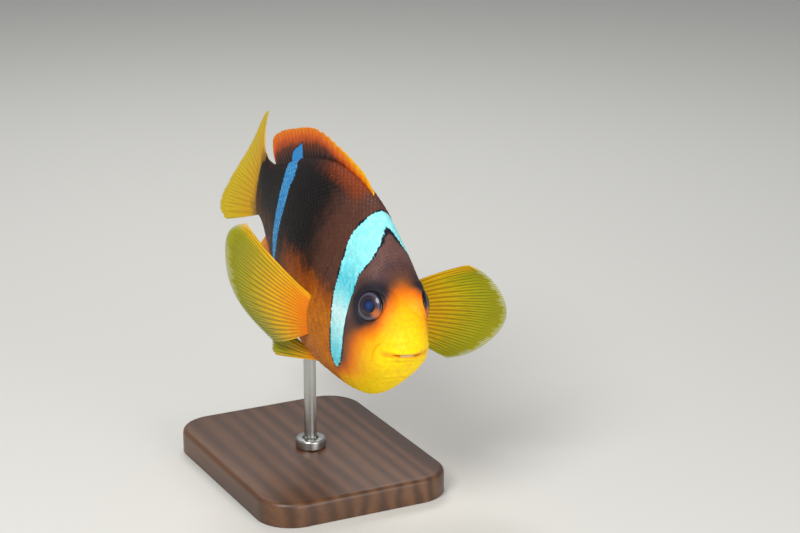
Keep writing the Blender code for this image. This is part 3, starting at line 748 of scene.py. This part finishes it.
def midline_fin_web(name, settings, stops, gap, dusk=0.0):
    """Fin web of the midline fins: satin film whose colour runs from root to margin."""
    made, tree = new_material(name, Roughness=0.45, Coat_Weight=0.06, Specular_IOR_Level=0.15,
                              Subsurface_Weight=0.08, Subsurface_Radius=(1.0, 0.6, 0.2),
                              Subsurface_Scale=0.0005)
    place = add(tree, "TexCoord").outputs["Object"]
    vectors = [add(tree, "Attribute", attribute_name=name).outputs["Vector"] for name in ("fin", "marks")]
    fin, marks = [add(tree, "SeparateXYZ", {0: vector}).outputs for vector in vectors]
    noise = add(tree, "TexNoise", {"Vector": place, "Scale": per_mm(1.5), "Detail": 4.0}).outputs[0]
    along = add(tree, "Math", {0: noise, 1: 0.3, 2: fin[1]}, operation="MULTIPLY_ADD").outputs[0]
    darker = add(tree, "MapRange", {0: fin[0], 1: 0.16, 2: 0.50, 4: dusk}).outputs[0]
    along = add(tree, "Math", {0: along, 1: darker}, operation="SUBTRACT").outputs[0]
    tint = add(tree, "ValToRGB", {0: along}, stops=stops).outputs[0]
    gaps = add(tree, "MapRange", {0: fin[2], 1: 0.35, 2: 0.0, 4: 0.20}).outputs[0]
    ragged = add(tree, "Math", {0: noise, 1: 0.006, 2: marks[1]}, operation="MULTIPLY_ADD").outputs[0]
    edge = add(tree, "MapRange", {0: ragged, 1: -0.0020, 2: 0.0002}).outputs[0]
    bar = add(tree, "MapRange", {0: ragged, 1: 0.0024, 2: 0.0040}).outputs[0]
    for share, paint in ((gaps, gap), (edge, settings.bar_edge), (bar, linear("2E90D2"))):
        tint = add(tree, "Mix", {FACTOR: share, FIRST: tint, SECOND: paint},
                   data_type="RGBA").outputs[MIXED]
    return finished(made, (noise, 0.00005, 0.3), Base_Color=tint)


def glass_eye(settings):
    """Painted glass eye: a blue-black lens with a painted sheen of lighter blue at its centre, in a
    purple-brown iris under a thick clear gloss.
    """
    made, tree = new_material("painted glass eye", Roughness=0.35, Coat_Weight=0.5,
                              Coat_Roughness=0.03, Specular_IOR_Level=0.15)
    iris = add(tree, "SeparateXYZ",
               {0: add(tree, "Attribute", attribute_name="iris").outputs["Vector"]}).outputs
    place = add(tree, "TexCoord").outputs["Object"]
    noise = add(tree, "TexNoise", {"Vector": place, "Scale": per_mm(0.35), "Detail": 3.0}).outputs[0]
    radius = add(tree, "Math", {0: noise, 1: 0.04, 2: iris[2]}, operation="MULTIPLY_ADD").outputs[0]
    tint = add(tree, "ValToRGB", {0: radius}, stops=[
        (0.66, settings.iris), (1.02, linear("0E0C10")), (0.86, settings.rim),
        (0.93, linear("1E1A22"))]).outputs[0]
    flat = add(tree, "CombineXYZ", {0: iris[0], 1: iris[1]}).outputs[0]
    low = add(tree, "VectorMath", {0: flat, 1: (0.78, -0.22, 0.0)}, operation="DISTANCE")
    patch = add(tree, "MapRange", {0: low.outputs["Value"], 1: 0.52, 2: 0.08},
                interpolation_type="SMOOTHSTEP").outputs[0]
    off = add(tree, "VectorMath", {0: flat, 1: (*EYE_GAZE, 0.0)}, operation="DISTANCE")
    off = add(tree, "Math", {0: noise, 1: 0.03, 2: off.outputs["Value"]}, operation="MULTIPLY_ADD")
    edge = settings.pupil
    # The lens runs from a painted sheen of lighter blue at its centre through blue-black to black at its
    # edge
    lens = add(tree, "ValToRGB", {0: off.outputs[0]}, stops=[
        (0.0, linear("22427C")), (edge + 0.05, linear("6A4C40")), (edge * 0.5, linear("182A54")),
        (edge * 0.85, settings.deep), (edge - 0.01, linear("06070C")),
        (edge + 0.02, linear("0A090A"))]).outputs[0]
    inside = add(tree, "MapRange", {0: off.outputs[0], 1: edge + 0.07, 2: edge + 0.04}).outputs[0]
    for share, paint in ((patch, settings.bronze), (inside, lens)):
        tint = add(tree, "Mix", {FACTOR: share, FIRST: tint, SECOND: paint},
                   data_type="RGBA").outputs[MIXED]
    return finished(made, (noise, 0.00006, 0.5), Base_Color=tint)


def oiled_walnut(settings):
    """Oiled walnut: growth rings drawn out along the board, with short dark pores."""
    made, tree = new_material("oiled walnut", Roughness=0.42, Coat_Weight=0.12, Coat_Roughness=0.35)
    place = add(tree, "TexCoord").outputs["Object"]
    board = add(tree, "Mapping", {0: place, 2: (0.0, 0.12, 0.0), 3: (1.0, 0.06, 1.0)}).outputs[0]
    drawn = add(tree, "Mapping", {0: place, 3: (1.0, 0.04, 1.0)}).outputs[0]
    warp = add(tree, "TexNoise", {"Vector": board, "Scale": per_mm(9.0), "Detail": 3.0})
    bands = add(tree, "TexWave", {"Vector": board, "Scale": per_mm(2.4 * 2 * pi), "Distortion": 7.0,
                                  "Detail": 3.0, "Detail Scale": 1.2}, bands_direction="X")
    pores = add(tree, "TexNoise", {"Vector": drawn, "Scale": per_mm(0.25), "Detail": 2.0}).outputs[0]
    rings = add(tree, "Math", {0: bands.outputs["Fac"], 1: warp.outputs[0]},
                operation="MULTIPLY").outputs[0]
    tint = add(tree, "ValToRGB", {0: rings}, stops=[
        (0.0, linear("4A2F1D")), (0.70, linear("6E4A30")), (0.25, settings.wood)]).outputs[0]
    dark = add(tree, "MapRange", {0: pores, 1: 0.40, 2: 0.30, 4: 0.7}).outputs[0]
    tint = add(tree, "Mix", {FACTOR: dark, FIRST: tint, SECOND: settings.grain},
               data_type="RGBA").outputs[MIXED]
    return finished(made, (pores, 0.00006, 0.5), Base_Color=tint)


def brushed_steel(settings):
    """Brushed stainless steel: fine turning marks round the rod that spread its highlight."""
    made, tree = new_material("brushed stainless steel", Base_Color=settings.steel, Metallic=1.0)
    place = add(tree, "TexCoord").outputs["Object"]
    rings = add(tree, "Mapping", {0: place, 3: (0.1, 0.1, 1.0)}).outputs[0]
    lines = add(tree, "TexNoise", {"Vector": rings, "Scale": per_mm(0.12), "Detail": 2.0}).outputs[0]
    rough = add(tree, "MapRange", {0: lines, 3: 0.22, 4: 0.40}).outputs[0]
    return finished(made, (lines, 0.00002, 0.4), Roughness=rough)


# ---- Skin and scales ----

def skin_place(station, girth, depth, rise=0.0):
    """Places on the skin, which lies under the scales by their depth, or raised from it."""
    side, height = straight(station, girth)
    lift = relief(side, station, height) * STANDARD_LENGTH - depth * scaled_share(side, station, height)
    return bent(side, station, height) + outward(station, girth) * (lift + rise)[:, None]


def paint_marks(mesh, side, station, height, grain):
    """Give each vertex the markings of its place on the straight fish."""
    store(mesh, "marks", markings(side, station, height))
    store(mesh, "tones", tones(side, station, height))
    store(mesh, "place", np.stack(np.broadcast_arrays(side, station, height), -1))
    store(mesh, "eye", np.where(station < 0.2, from_eye(side, station, height)[0], 1.0))
    store(mesh, "grain", grain)


class MESH_OT_fish_skin(bpy.types.Operator):
    """Build one closed skin over head, trunk and tail root, with lips, folds and gill covers"""
    bl_idname = "mesh.fish_skin"
    bl_label = "Skin"

    def execute(self, context):
        settings = context.scene.fish_body
        bm = unit_grid(settings.columns, settings.rings)

        # Finer faces round the lips and the rims of the eyes
        centres = np.array([face.calc_center_median()[:2] for face in bm.faces])
        station = centres[:, 1] ** 2
        side, height = straight(station, centres[:, 0])
        lips = (station < 0.055) & (np.abs(height + 0.006) < 0.038)
        rims = np.abs(from_eye(side, station, height)[0] - 0.040) < 0.013
        eyes = (station < 0.2) & (height > 0) & rims
        fine = np.flatnonzero(lips | eyes)
        bm.faces.ensure_lookup_table()
        edges = {edge for i in fine for edge in bm.faces[i].edges}
        bmesh.ops.subdivide_edges(bm, edges=list(edges), cuts=1, use_grid_fill=True)
        mesh = to_mesh("skin", bm)

        flat = vertex_places(mesh)
        bake_map(mesh, flat[:, :2])
        girth = flat[:, 0]
        station = flat[:, 1] ** 2
        side, height = straight(station, girth)
        places = skin_place(station, girth, settings.coat_depth)
        places[flat[:, 1] > 1 - 1e-6] = bent(0.0, 1 + TAIL_CAP, TAIL_AXIS_HEIGHT)
        move_vertices(mesh, on_stand(places))
        paint_marks(mesh, side, station, height, np.full(len(side), 0.5))

        bm = bmesh.new()
        bm.from_mesh(mesh)
        bmesh.ops.remove_doubles(bm, verts=bm.verts, dist=1e-7)
        bmesh.ops.recalc_face_normals(bm, faces=bm.faces)
        bm.to_mesh(mesh)
        bm.free()
        mesh.shade_smooth()
        add_piece("skin", mesh, fish_skin(settings), "skin", "head", "trunk", "tail_peduncle")
        return {"FINISHED"}


SCALE_LENGTH = 2.0       # in rows
SCALE_WIDTH = 1.20       # in columns
SCALE_FACES = 4          # along and across
SCALE_PATCH = 0.003      # size of a scale's patch on the bake's map
SCALE_STEPPING = 0.45    # how far a bar's edge follows whole scales


def scale_pattern():
    """One scale on a unit square: a thin plate, its underside a single face."""
    bm = bmesh.new()
    bmesh.ops.create_grid(bm, x_segments=SCALE_FACES, y_segments=SCALE_FACES, size=0.5)
    under = bm.faces[:]
    made = bmesh.ops.extrude_face_region(bm, geom=under, use_keep_orig=True)["geom"]
    raised = [item for item in made if isinstance(item, bmesh.types.BMVert)]
    bmesh.ops.translate(bm, vec=(0, 0, 1), verts=raised)
    bmesh.ops.dissolve_faces(bm, faces=under)
    bmesh.ops.recalc_face_normals(bm, faces=bm.faces)
    return to_mesh("one scale", bm)


def repeated(mesh, columns, rows):
    """Repeat a mesh in rows, each shifted by half a column, and join the copies."""
    pattern = new_object("pattern", mesh)
    for count, offset in ((columns, (1, 0, 0)), (rows, (0.5, 1, 0))):
        array = pattern.modifiers.new("rows", "ARRAY")
        array.count = count
        array.use_relative_offset = False
        array.use_constant_offset = True
        array.constant_offset_displace = offset
    graph = bpy.context.evaluated_depsgraph_get()
    made = bpy.data.meshes.new_from_object(pattern.evaluated_get(graph))
    bpy.data.objects.remove(pattern)
    return made


class MESH_OT_fish_scales(bpy.types.Operator):
    """Cover the skin with overlapping scales that lie towards the tail, in bands from head to tail"""
    bl_idname = "mesh.fish_scales"
    bl_label = "Scales"

    def row_stations(self, first, last, columns, spacing):
        """Stations of the rows: their spacing follows the girth; spare rows close the band."""
        rows = [first]
        while rows[-1] < last:
            rows.append(rows[-1] + spacing * float(girth_length(rows[-1])) / columns)
        count = len(rows) - 1
        step = rows[-1] - rows[-2]
        return count, rows + [rows[-1] + step * (k + 1) for k in range(3)]

    def band(self, name, first, last, columns, settings, body, finish):
        """One piece: all the scales whose roots lie between two stations."""
        count, rows = self.row_stations(first, last, columns, settings.row_spacing)
        pattern = scale_pattern()
        local = vertex_places(pattern)
        mesh = repeated(pattern, columns, count)
        placed = vertex_places(mesh)
        local = np.tile(local, (len(placed) // len(local), 1))
        row = np.round(placed[:, 1] - local[:, 1])
        column = placed[:, 0] - local[:, 0]
        which = (row * columns + np.round(column - 0.5 * row)).astype(int)
        chance = np.random.default_rng(settings.seed).random((count * columns, 3))[which]

        across = 2 * local[:, 0]
        along = (local[:, 1] + 0.5) * SCALE_LENGTH * (1 - 0.26 * np.abs(across) ** 3)
        along *= 1 + 0.12 * (chance[:, 0] - 0.5)
        root = np.interp(row, np.arange(len(rows)), rows)
        station = np.interp(row + along, np.arange(len(rows)), rows)
        girth = (column + across * SCALE_WIDTH / 2) / columns
        root_girth = column / columns
        root_side, root_height = straight(root + 1e-9, root_girth)
        share = scaled_share(root_side, root, root_height)

        # A scale rises from its root to its free edge and curves down at its sides
        width = girth_length(station) / columns * STANDARD_LENGTH
        slope = settings.rise * (0.55 + 0.45 * ease(station, 0.2, 0.3))
        rise = slope * (along - 0.15) - 0.07 * across ** 2 + 0.03 + 0.035 * local[:, 2]
        rise += 0.03 * (chance[:, 1] - 0.5) * along - (1 - share) * 0.12 * SCALE_LENGTH
        move_vertices(mesh, on_stand(skin_place(station, girth, body.coat_depth, width * rise)))

        # Its colours follow its own place in part, and its root's place in part
        side, height = straight(station, girth)
        blend = SCALE_STEPPING
        paint_marks(mesh, side + (root_side - side) * blend, station + (root - station) * blend,
                    height + (root_height - height) * blend, chance[:, 2])
        patch = SCALE_PATCH * np.stack((local[:, 0], local[:, 1]), -1)
        bake_map(mesh, np.stack((root_girth % 1.0, np.sqrt(root)), -1) * 0.98 + 0.01 + patch)

        # No scales on the bare face
        bm = bmesh.new()
        bm.from_mesh(mesh)
        bare = [vert for vert, kept in zip(bm.verts, share > 0.04) if not kept]
        bmesh.ops.delete(bm, geom=bare, context="VERTS")
        bm.to_mesh(mesh)
        bm.free()
        mesh.shade_smooth()
        add_piece(name, mesh, finish, "skin")

    def execute(self, context):
        settings = context.scene.fish_scales
        body = context.scene.fish_body
        finish = bpy.data.materials["lacquered fish skin"]
        bands = [("scales_crown", 0.092, 0.165, settings.head_columns),
                 ("scales_cheek", 0.165, 0.245, settings.head_columns),
                 ("scales_shoulder", 0.245, 0.44, settings.body_columns),
                 ("scales_flank", 0.44, 0.62, settings.body_columns),
                 ("scales_rear", 0.62, 0.80, settings.body_columns),
                 ("scales_tail_root", 0.80, 0.985, settings.tail_columns)]
        for name, first, last, columns in bands:
            self.band(name, first, last, columns, settings, body, finish)
        return {"FINISHED"}


# ---- Fins ----

def branch_distance(phase, reach):
    """Distance to the nearest branch of a ray, in ray spacings; rays fork twice on their way out."""
    off = np.abs(phase - np.round(phase))
    first = 0.25 * ease(reach, 0.38, 0.85)
    second = 0.125 * ease(reach, 0.68, 1.0)
    return np.abs(np.abs(off - first) - second)


def add_fin(name, nodes, finish, grid, shape, rays, settings, marks=None, ray_share=1.0, fray=0.05,
            forks=True):
    """Add a fin's web and rays: a grid laid out by shape(u, v), thickened on both sides by its rays."""
    mesh = to_mesh(name, unit_grid(*grid))
    u, v = vertex_places(mesh)[:, :2].T
    phase = rays(u)
    reach = v if forks else v * 0
    distance = branch_distance(phase, reach)
    half_gap = 0.5 - 0.375 * ease(reach, 0.38, 1.0)
    width = 0.20 - 0.15 * ease(reach, 0.3, 0.95) if forks else 0.16
    ridge = hump(distance, width)
    worn = 1 + 0.5 * np.sin(phase * 2.4) * np.sin(phase * 5.1 + 1.3)
    cut = 1 - fray * worn * (1 - ridge) * ease(v, 0.55, 1.0) * np.minimum(distance / half_gap, 1)
    move_vertices(mesh, on_stand(shape(u, v * cut)))
    store(mesh, "fin", np.stack((u, v, ridge), -1))
    if marks:
        store(mesh, "marks", marks(u, v))
    piece = add_piece(name, mesh, finish, "fin_orange", *nodes)

    thickness = settings.membrane + settings.ray * ray_share * ridge * (1 - 0.62 * v)
    thickness += settings.root * (1 - ease(v, 0.0, 0.30)) * ray_share
    most = float(thickness.max())
    group = piece.vertex_groups.new(name="thickness")
    for index, share in enumerate(thickness / most):
        group.add([index], float(share), "REPLACE")
    solid = piece.modifiers.new("thickness", "SOLIDIFY")
    solid.thickness = most
    solid.offset = 0.0
    solid.vertex_group = group.name
    solid.thickness_vertex_group = 0.0
    solid.use_even_offset = False


def midline_rays(fin):
    """Numbers along a midline fin, so that each spine and ray falls on a whole one."""
    def phase(u):
        root = fin["first"] + (fin["last"] - fin["first"]) * u
        spines = (root - fin["first"]) / (fin["spines_end"] - fin["first"]) * fin["spines"]
        rays = (root - fin["spines_end"]) / (fin["last"] - fin["spines_end"]) * fin["rays"]
        return np.where(root < fin["spines_end"], spines, fin["spines"] + rays)
    return phase


def midline_shape(fin):
    """Straight places of a fin whose rays rise from the back or hang from the belly."""
    inward = -1 if fin["edge"] is BACK else 1

    def shape(u, v):
        root = fin["first"] + (fin["last"] - fin["first"]) * u
        low = along_body(fin["edge"], root) + inward * FIN_ROOT_DEPTH
        station = along_body(fin["tip_station"], root)
        high = along_body(fin["tip_height"], root)
        spiny = 1 - ease(root, fin["spines_end"] - 0.01, fin["spines_end"] + 0.01)
        count = fin["spines"] / (fin["spines_end"] - fin["first"])
        notch = np.sin(pi * (root - fin["first"]) * count) ** 2
        reach = v * (1 - SPINE_NOTCH * v * notch * spiny)
        sway = 0.0022 * np.sin(9 * u + 1.0) * v ** 2
        return sway, root + (station - root) * reach, low + (high - low) * reach
    return shape


def unmarked(u, v):
    """Markings of a fin that no bar crosses."""
    return np.full((len(u), 3), -1.0)


class MESH_OT_fish_midline_fins(bpy.types.Operator):
    """Build the dorsal, anal and tail fins with their spines, rays and web"""
    bl_idname = "mesh.fish_midline_fins"
    bl_label = "Midline fins"

    def tail_shape(self, u, v):
        """Places of the tail fin: a fan with blunt corners that twists as the body bends."""
        across = 2 * u - 1
        station = TAIL_TIP_STATION + 0.015 * across ** 2 - 0.07 * across ** 10
        height = TAIL_AXIS_HEIGHT - 0.005 + TAIL_TIP_HALF_HEIGHT * across
        root_height = TAIL_AXIS_HEIGHT + TAIL_ROOT_HALF_HEIGHT * across
        y = TAIL_ROOT_STATION + (station - TAIL_ROOT_STATION) * v
        z = root_height + (height - root_height) * v
        side = TAIL_TWIST * np.maximum(y - 1.0, 0.0) * (z - TAIL_AXIS_HEIGHT)
        return bent(side + 0.003 * np.sin(5 * across) * v ** 2, y, z)

    def execute(self, context):
        settings = context.scene.fish_fins
        body = context.scene.fish_body
        dark = midline_fin_web("dorsal fin web", body, [
            (0.12, body.flank), (1.12, linear("FFB408")), (0.34, linear("5A260E")),
            (0.48, linear("B8480A")), (0.64, linear("EA6604")), (0.90, settings.margin)],
            linear("7A300A"), dusk=0.32)
        warm = midline_fin_web("anal fin web", body, [
            (0.12, linear("5A2E12")), (1.12, linear("F0B020")), (0.42, linear("C8640C")),
            (0.75, linear("EC8C10"))], linear("6A3408"))
        gold = midline_fin_web("tail fin web", body, [
            (0.14, linear("4A2A14")), (1.12, linear("D6B824")), (0.32, linear("A87A10")),
            (0.50, settings.tail)], linear("5A440C"))
        for name, fin, finish, columns, nodes in (
                ("dorsal_fin", DORSAL, dark, 312, ("dorsal_fin_spiny", "dorsal_fin_soft")),
                ("anal_fin_web", ANAL, warm, 180, ("anal_fin",))):
            shape = midline_shape(fin)
            add_fin(name, nodes, finish, (columns, 30), lambda u, v: bent(*shape(u, v)),
                    midline_rays(fin), settings, lambda u, v: markings(*shape(u, v)),
                    ray_share=0.4, fray=0.02, forks=False)
        spacings = TAIL_RAYS - 1
        add_fin("tail_fin", ("caudal_fin",), gold, (14 * spacings, 56), self.tail_shape,
                lambda u: u * spacings, settings, unmarked, fray=0.04)
        return {"FINISHED"}


def fan_shape(side, roots, aim, spread, lengths, bow):
    """Places of a paired fin whose rays fan out from a short root line."""
    start = np.array(roots[0]) * (side, 1, 1)
    end = np.array(roots[1]) * (side, 1, 1)
    sweep, lift, roll = aim
    ahead = np.array(direction(sweep, lift)) * (side, 1, 1)
    down = np.array((0.0, 0.0, -1.0)) + ahead * ahead[2]
    down /= np.linalg.norm(down)
    back = np.cross(ahead, down)
    back *= 1 if back[1] > 0 else -1
    across = cos(roll) * down + sin(roll) * back
    face = np.cross(ahead, across)
    face *= 1 if face[0] * side > 0 else -1

    def shape(u, v):
        angle = spread[0] + (spread[1] - spread[0]) * u
        ray = np.cos(angle)[:, None] * ahead + np.sin(angle)[:, None] * across
        along = v * 1.06 - 0.06
        ripple = 0.004 * np.sin(11 * u + 0.8) * ease(v, 0.3, 1.0)
        out = bow * 4 * along * (1 - along) + ripple
        root = start + (end - start) * u[:, None]
        return (root + ray * (along * lengths(u))[:, None] + face * out[:, None]) * STANDARD_LENGTH
    return shape


class MESH_OT_fish_paired_fins(bpy.types.Operator):
    """Build the pectoral fins, one fanned forwards and one swept back, and the pelvic fins"""
    bl_idname = "mesh.fish_paired_fins"
    bl_label = "Paired fins"

    def execute(self, context):
        settings = context.scene.fish_fins
        web = paired_fin_web(settings)
        aims = {"left": (radians(52), radians(15), radians(30)),
                "right": (radians(157), radians(6), radians(26))}
        spreads = {"left": (radians(-26), radians(35)), "right": (radians(-30), radians(44))}
        longest = {"left": 0.335, "right": 0.325}
        worn = {"left": 0.07, "right": 0.15}
        for name, side in (("left", 1), ("right", -1)):
            reach = longest[name] / 0.984
            fins = [("pectoral", PECTORAL_RAYS, 24, 64, worn[name],
                     fan_shape(side, PECTORAL_ROOTS, aims[name], spreads[name],
                               lambda u: reach * (0.80 + 0.88 * u - 1.05 * u ** 2), 0.012)),
                    ("pelvic", PELVIC_RAYS, 16, 48, 0.05,
                     fan_shape(side, PELVIC_ROOTS, (radians(168), radians(-13), radians(12)),
                               (radians(8), radians(-16)),
                               lambda u: 0.225 + 0.06 * u - 0.16 * u ** 2, 0.004))]
            for kind, rays, columns, rows, fray, shape in fins:
                spacings = rays - 1
                add_fin(f"{kind}_web_{name}", (f"{kind}_fin_{name}",), web, (columns * spacings, rows),
                        shape, lambda u: u * spacings, settings, fray=fray)
        return {"FINISHED"}


# ---- Eyes and teeth ----

class MESH_OT_fish_eyes(bpy.types.Operator):
    """Turn both eyes: a domed lens and iris that look out, a little forwards and up"""
    bl_idname = "mesh.fish_eyes"
    bl_label = "Eyes"

    def execute(self, context):
        finish = glass_eye(context.scene.fish_eyes)
        steps = 40
        for name, side in (("left", 1), ("right", -1)):
            outline = []
            for i in range(steps + 1):
                turn = pi * i / steps
                radius = EYE_RADIUS * sin(turn)
                dome = EYE_DOME * float(hump(radius / EYE_RADIUS, 0.55)) if turn < pi / 2 else 0.0
                outline.append((radius, EYE_DEPTH * cos(turn) + dome))
            mesh = turned(f"eyeball_{name}", outline, 72)
            places = vertex_places(mesh)
            radius = np.hypot(places[:, 0], places[:, 1]) / EYE_RADIUS
            radius = np.where(places[:, 2] < 0, 1.0, radius)
            store(mesh, "iris", np.stack((-side * places[:, 0] / EYE_RADIUS,
                                          places[:, 1] / EYE_RADIUS, radius), -1))
            axis = Vector((side * EYE_AXIS[0], EYE_AXIS[1], EYE_AXIS[2]))
            turn = np.array(axis.to_track_quat("Z", "Y").to_matrix())
            centre = np.array(EYE_CENTRE) * (side, 1, 1)
            move_vertices(mesh, on_stand((places @ turn.T + centre) * STANDARD_LENGTH))
            add_piece(f"eyeball_{name}", mesh, finish, "eye", f"eye_{name}")
        return {"FINISHED"}


class MESH_OT_fish_teeth(bpy.types.Operator):
    """Set a row of small blunt teeth behind each lip, where the open mouth shows them"""
    bl_idname = "mesh.fish_teeth"
    bl_label = "Teeth"

    def execute(self, context):
        bm = bmesh.new()
        for jaw, count, shift in ((1, 8, 0.0), (-1, 7, 0.1)):
            for i in range(count):
                across = (i - (count - 1) / 2 + shift) * TOOTH["pitch"]
                station = 0.006 * ((across / 0.034) ** 2 + (MOUTH_LEVEL / 0.028) ** 2) + 0.0030
                made = bmesh.ops.create_cone(bm, cap_ends=True, segments=10, radius1=TOOTH["root"],
                                             radius2=TOOTH["tip"], depth=TOOTH["length"])["verts"]
                over = Matrix.Rotation(pi if jaw > 0 else 0, 3, "X")
                bmesh.ops.rotate(bm, cent=(0, 0, 0), matrix=over, verts=made)
                bmesh.ops.translate(bm, vec=(across, station, MOUTH_LEVEL + jaw * 0.0024), verts=made)
        mesh = to_mesh("teeth", bm)
        move_vertices(mesh, on_stand(vertex_places(mesh) * STANDARD_LENGTH))
        add_piece("teeth", mesh, enamel("tooth enamel", "F2E6C8"), "eye")
        return {"FINISHED"}


# ---- Stand and stage ----

class MESH_OT_fish_stand(bpy.types.Operator):
    """Build the walnut base, steel rod and turned collar of the stand"""
    bl_idname = "mesh.fish_stand"
    bl_label = "Stand"

    def base(self):
        """The block in its solid's box, with round corners and softened edges."""
        low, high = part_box("stand_base")
        size = high - low
        bm = bmesh.new()
        bmesh.ops.create_cube(bm, size=1.0)
        bmesh.ops.scale(bm, vec=size, verts=bm.verts)
        bmesh.ops.translate(bm, vec=(low + high) / 2, verts=bm.verts)
        upright = [e for e in bm.edges if abs(e.verts[0].co.z - e.verts[1].co.z) > size.z / 2]
        bmesh.ops.bevel(bm, geom=upright, offset=BASE_CORNER, affect="EDGES", segments=24,
                        profile=0.5, material=-1)
        for level, offset in ((high.z, BASE_TOP_BEVEL), (low.z, BASE_FOOT_BEVEL)):
            rim = [e for e in bm.edges if all(abs(v.co.z - level) < 1e-6 for v in e.verts)]
            bmesh.ops.bevel(bm, geom=rim, offset=offset, affect="EDGES", segments=5, profile=0.5,
                            material=-1)
        mesh = to_mesh("base_block", bm)
        mesh.set_sharp_from_angle(angle=radians(35))
        return mesh

    def execute(self, context):
        settings = context.scene.fish_stand
        add_piece("base_block", self.base(), oiled_walnut(settings), "walnut", "stand_base")
        steel = brushed_steel(settings)
        low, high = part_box("stand_rod")
        radius = (high.x - low.x) / 2
        rod = turned("rod", [(0.0, low.z), (radius, low.z), (radius, high.z), (0.0, high.z)], 64)
        low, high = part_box("stand_collar")
        outer = (high.x - low.x) / 2
        inner = radius + GAP
        corner = COLLAR_CORNER
        ring = [(inner, low.z), (outer, low.z), (outer, high.z - corner)]
        ring += [(outer - corner + corner * cos(a), high.z - corner + corner * sin(a))
                 for a in (radians(22.5), radians(45), radians(67.5))]
        ring += [(outer - corner, high.z), (inner + corner / 2, high.z), (inner, high.z - corner / 2)]
        collar = turned("collar", ring, 64, closed=True)
        for mesh in (rod, collar):
            mesh.set_sharp_from_angle(angle=radians(35))
            add_piece(mesh.name, mesh, steel, "steel", f"stand_{mesh.name}")
        return {"FINISHED"}


class SCENE_OT_fish_stage(bpy.types.Operator):
    """Set the pale floor, the soft studio light and the camera"""
    bl_idname = "scene.fish_stage"
    bl_label = "Stage"

    def softbox(self, name, power, size, azimuth, elevation, distance, target):
        """A round soft light that faces the target."""
        light = bpy.data.lights.new(name, "AREA")
        light.shape = "DISK"
        light.energy = power
        light.size = size
        lamp = new_object(name, light)
        away = Vector(direction(azimuth, elevation))
        lamp.location = target + away * distance
        lamp.rotation_euler = away.to_track_quat("Z", "Y").to_euler()

    def floor(self, settings):
        """A wide matt floor whose grey varies a little."""
        bm = bmesh.new()
        bmesh.ops.create_grid(bm, x_segments=8, y_segments=8, size=4.0)
        mesh = to_mesh("floor", bm)
        made, tree = new_material("matt floor paint", Roughness=0.85)
        place = add(tree, "TexCoord").outputs["Object"]
        noise = add(tree, "TexNoise", {"Vector": place, "Scale": 4.0}).outputs[0]
        tint = add(tree, "MapRange", {0: noise, 3: 0.97, 4: 1.0}).outputs[0]
        tint = add(tree, "CombineColor", {0: tint, 1: tint, 2: tint}).outputs[0]
        tint = add(tree, "Mix", {FACTOR: 1.0, FIRST: settings.floor, SECOND: tint}, data_type="RGBA",
                   blend_type="MULTIPLY").outputs[MIXED]
        mesh.materials.append(finished(made, Base_Color=tint))
        new_object("floor", mesh)

    def camera(self, settings):
        """A camera that looks a little above and left of the lip."""
        lip = Vector(LIP)
        away = Vector(direction(settings.azimuth, settings.elevation))
        right = away.cross(Vector((0, 0, -1))).normalized()
        up = away.cross(right)
        look = (-away - right * tan(settings.aim_left) + up * tan(settings.aim_up)).normalized()
        data = bpy.data.cameras.new("camera")
        data.sensor_width = 36.0
        data.lens = settings.lens * 1000
        data.clip_start = 0.01
        made = new_object("camera", data)
        made.location = lip + away * settings.distance
        made.rotation_euler = (-look).to_track_quat("Z", "Y").to_euler()
        bpy.context.scene.camera = made

    def execute(self, context):
        settings = context.scene.fish_stage
        scene = context.scene
        scene.view_settings.view_transform = "Standard"
        world = bpy.data.worlds.new("studio")
        scene.world = world
        world.use_nodes = True
        sky = world.node_tree.nodes["Background"]
        sky.inputs["Color"].default_value = linear("EEF2F6")
        sky.inputs["Strength"].default_value = settings.ambient
        target = Vector((0.0, 0.0, 0.05))
        for name, size, azimuth, elevation, distance in (("key", 0.22, -50, 42, 0.5),
                                                         ("fill", 0.35, 10, 8, 0.55),
                                                         ("back", 0.25, 160, 50, 0.5)):
            self.softbox(name, getattr(settings, name), size, radians(azimuth), radians(elevation),
                         distance, target)
        self.floor(settings)
        self.camera(settings)
        return {"FINISHED"}


STEPS = ("mesh.fish_skin", "mesh.fish_scales", "mesh.fish_midline_fins", "mesh.fish_paired_fins",
         "mesh.fish_eyes", "mesh.fish_teeth", "mesh.fish_stand", "scene.fish_stage")


class VIEW3D_PT_fish(bpy.types.Panel):
    """Settings and steps of the anemonefish model"""
    bl_label = "Anemonefish"
    bl_idname = "VIEW3D_PT_fish"
    bl_space_type = "VIEW_3D"
    bl_region_type = "UI"
    bl_category = "Anemonefish"

    def draw(self, context):
        for group in SETTINGS:
            box = self.layout.box()
            box.label(text=group.replace("_", " "))
            for name in SETTINGS[group].__annotations__:
                box.prop(getattr(context.scene, group), name)
        for step in STEPS:
            self.layout.operator(step)


SETTINGS = {
    "fish_body": FishBodySettings,
    "fish_scales": FishScaleSettings,
    "fish_fins": FishFinSettings,
    "fish_eyes": FishEyeSettings,
    "fish_stand": FishStandSettings,
    "fish_stage": FishStageSettings,
}
CLASSES = (*SETTINGS.values(), MESH_OT_fish_skin, MESH_OT_fish_scales, MESH_OT_fish_midline_fins,
           MESH_OT_fish_paired_fins, MESH_OT_fish_eyes, MESH_OT_fish_teeth, MESH_OT_fish_stand,
           SCENE_OT_fish_stage, VIEW3D_PT_fish)


def register():
    for made in CLASSES:
        bpy.utils.register_class(made)
    for name, group in SETTINGS.items():
        setattr(bpy.types.Scene, name, PointerProperty(type=group))


def unregister():
    for name in SETTINGS:
        delattr(bpy.types.Scene, name)
    for made in reversed(CLASSES):
        bpy.utils.unregister_class(made)


def main():
    register()
    for step in STEPS:
        group, name = step.split(".")
        getattr(getattr(bpy.ops, group), name)()


if __name__ == "__main__":
    main()
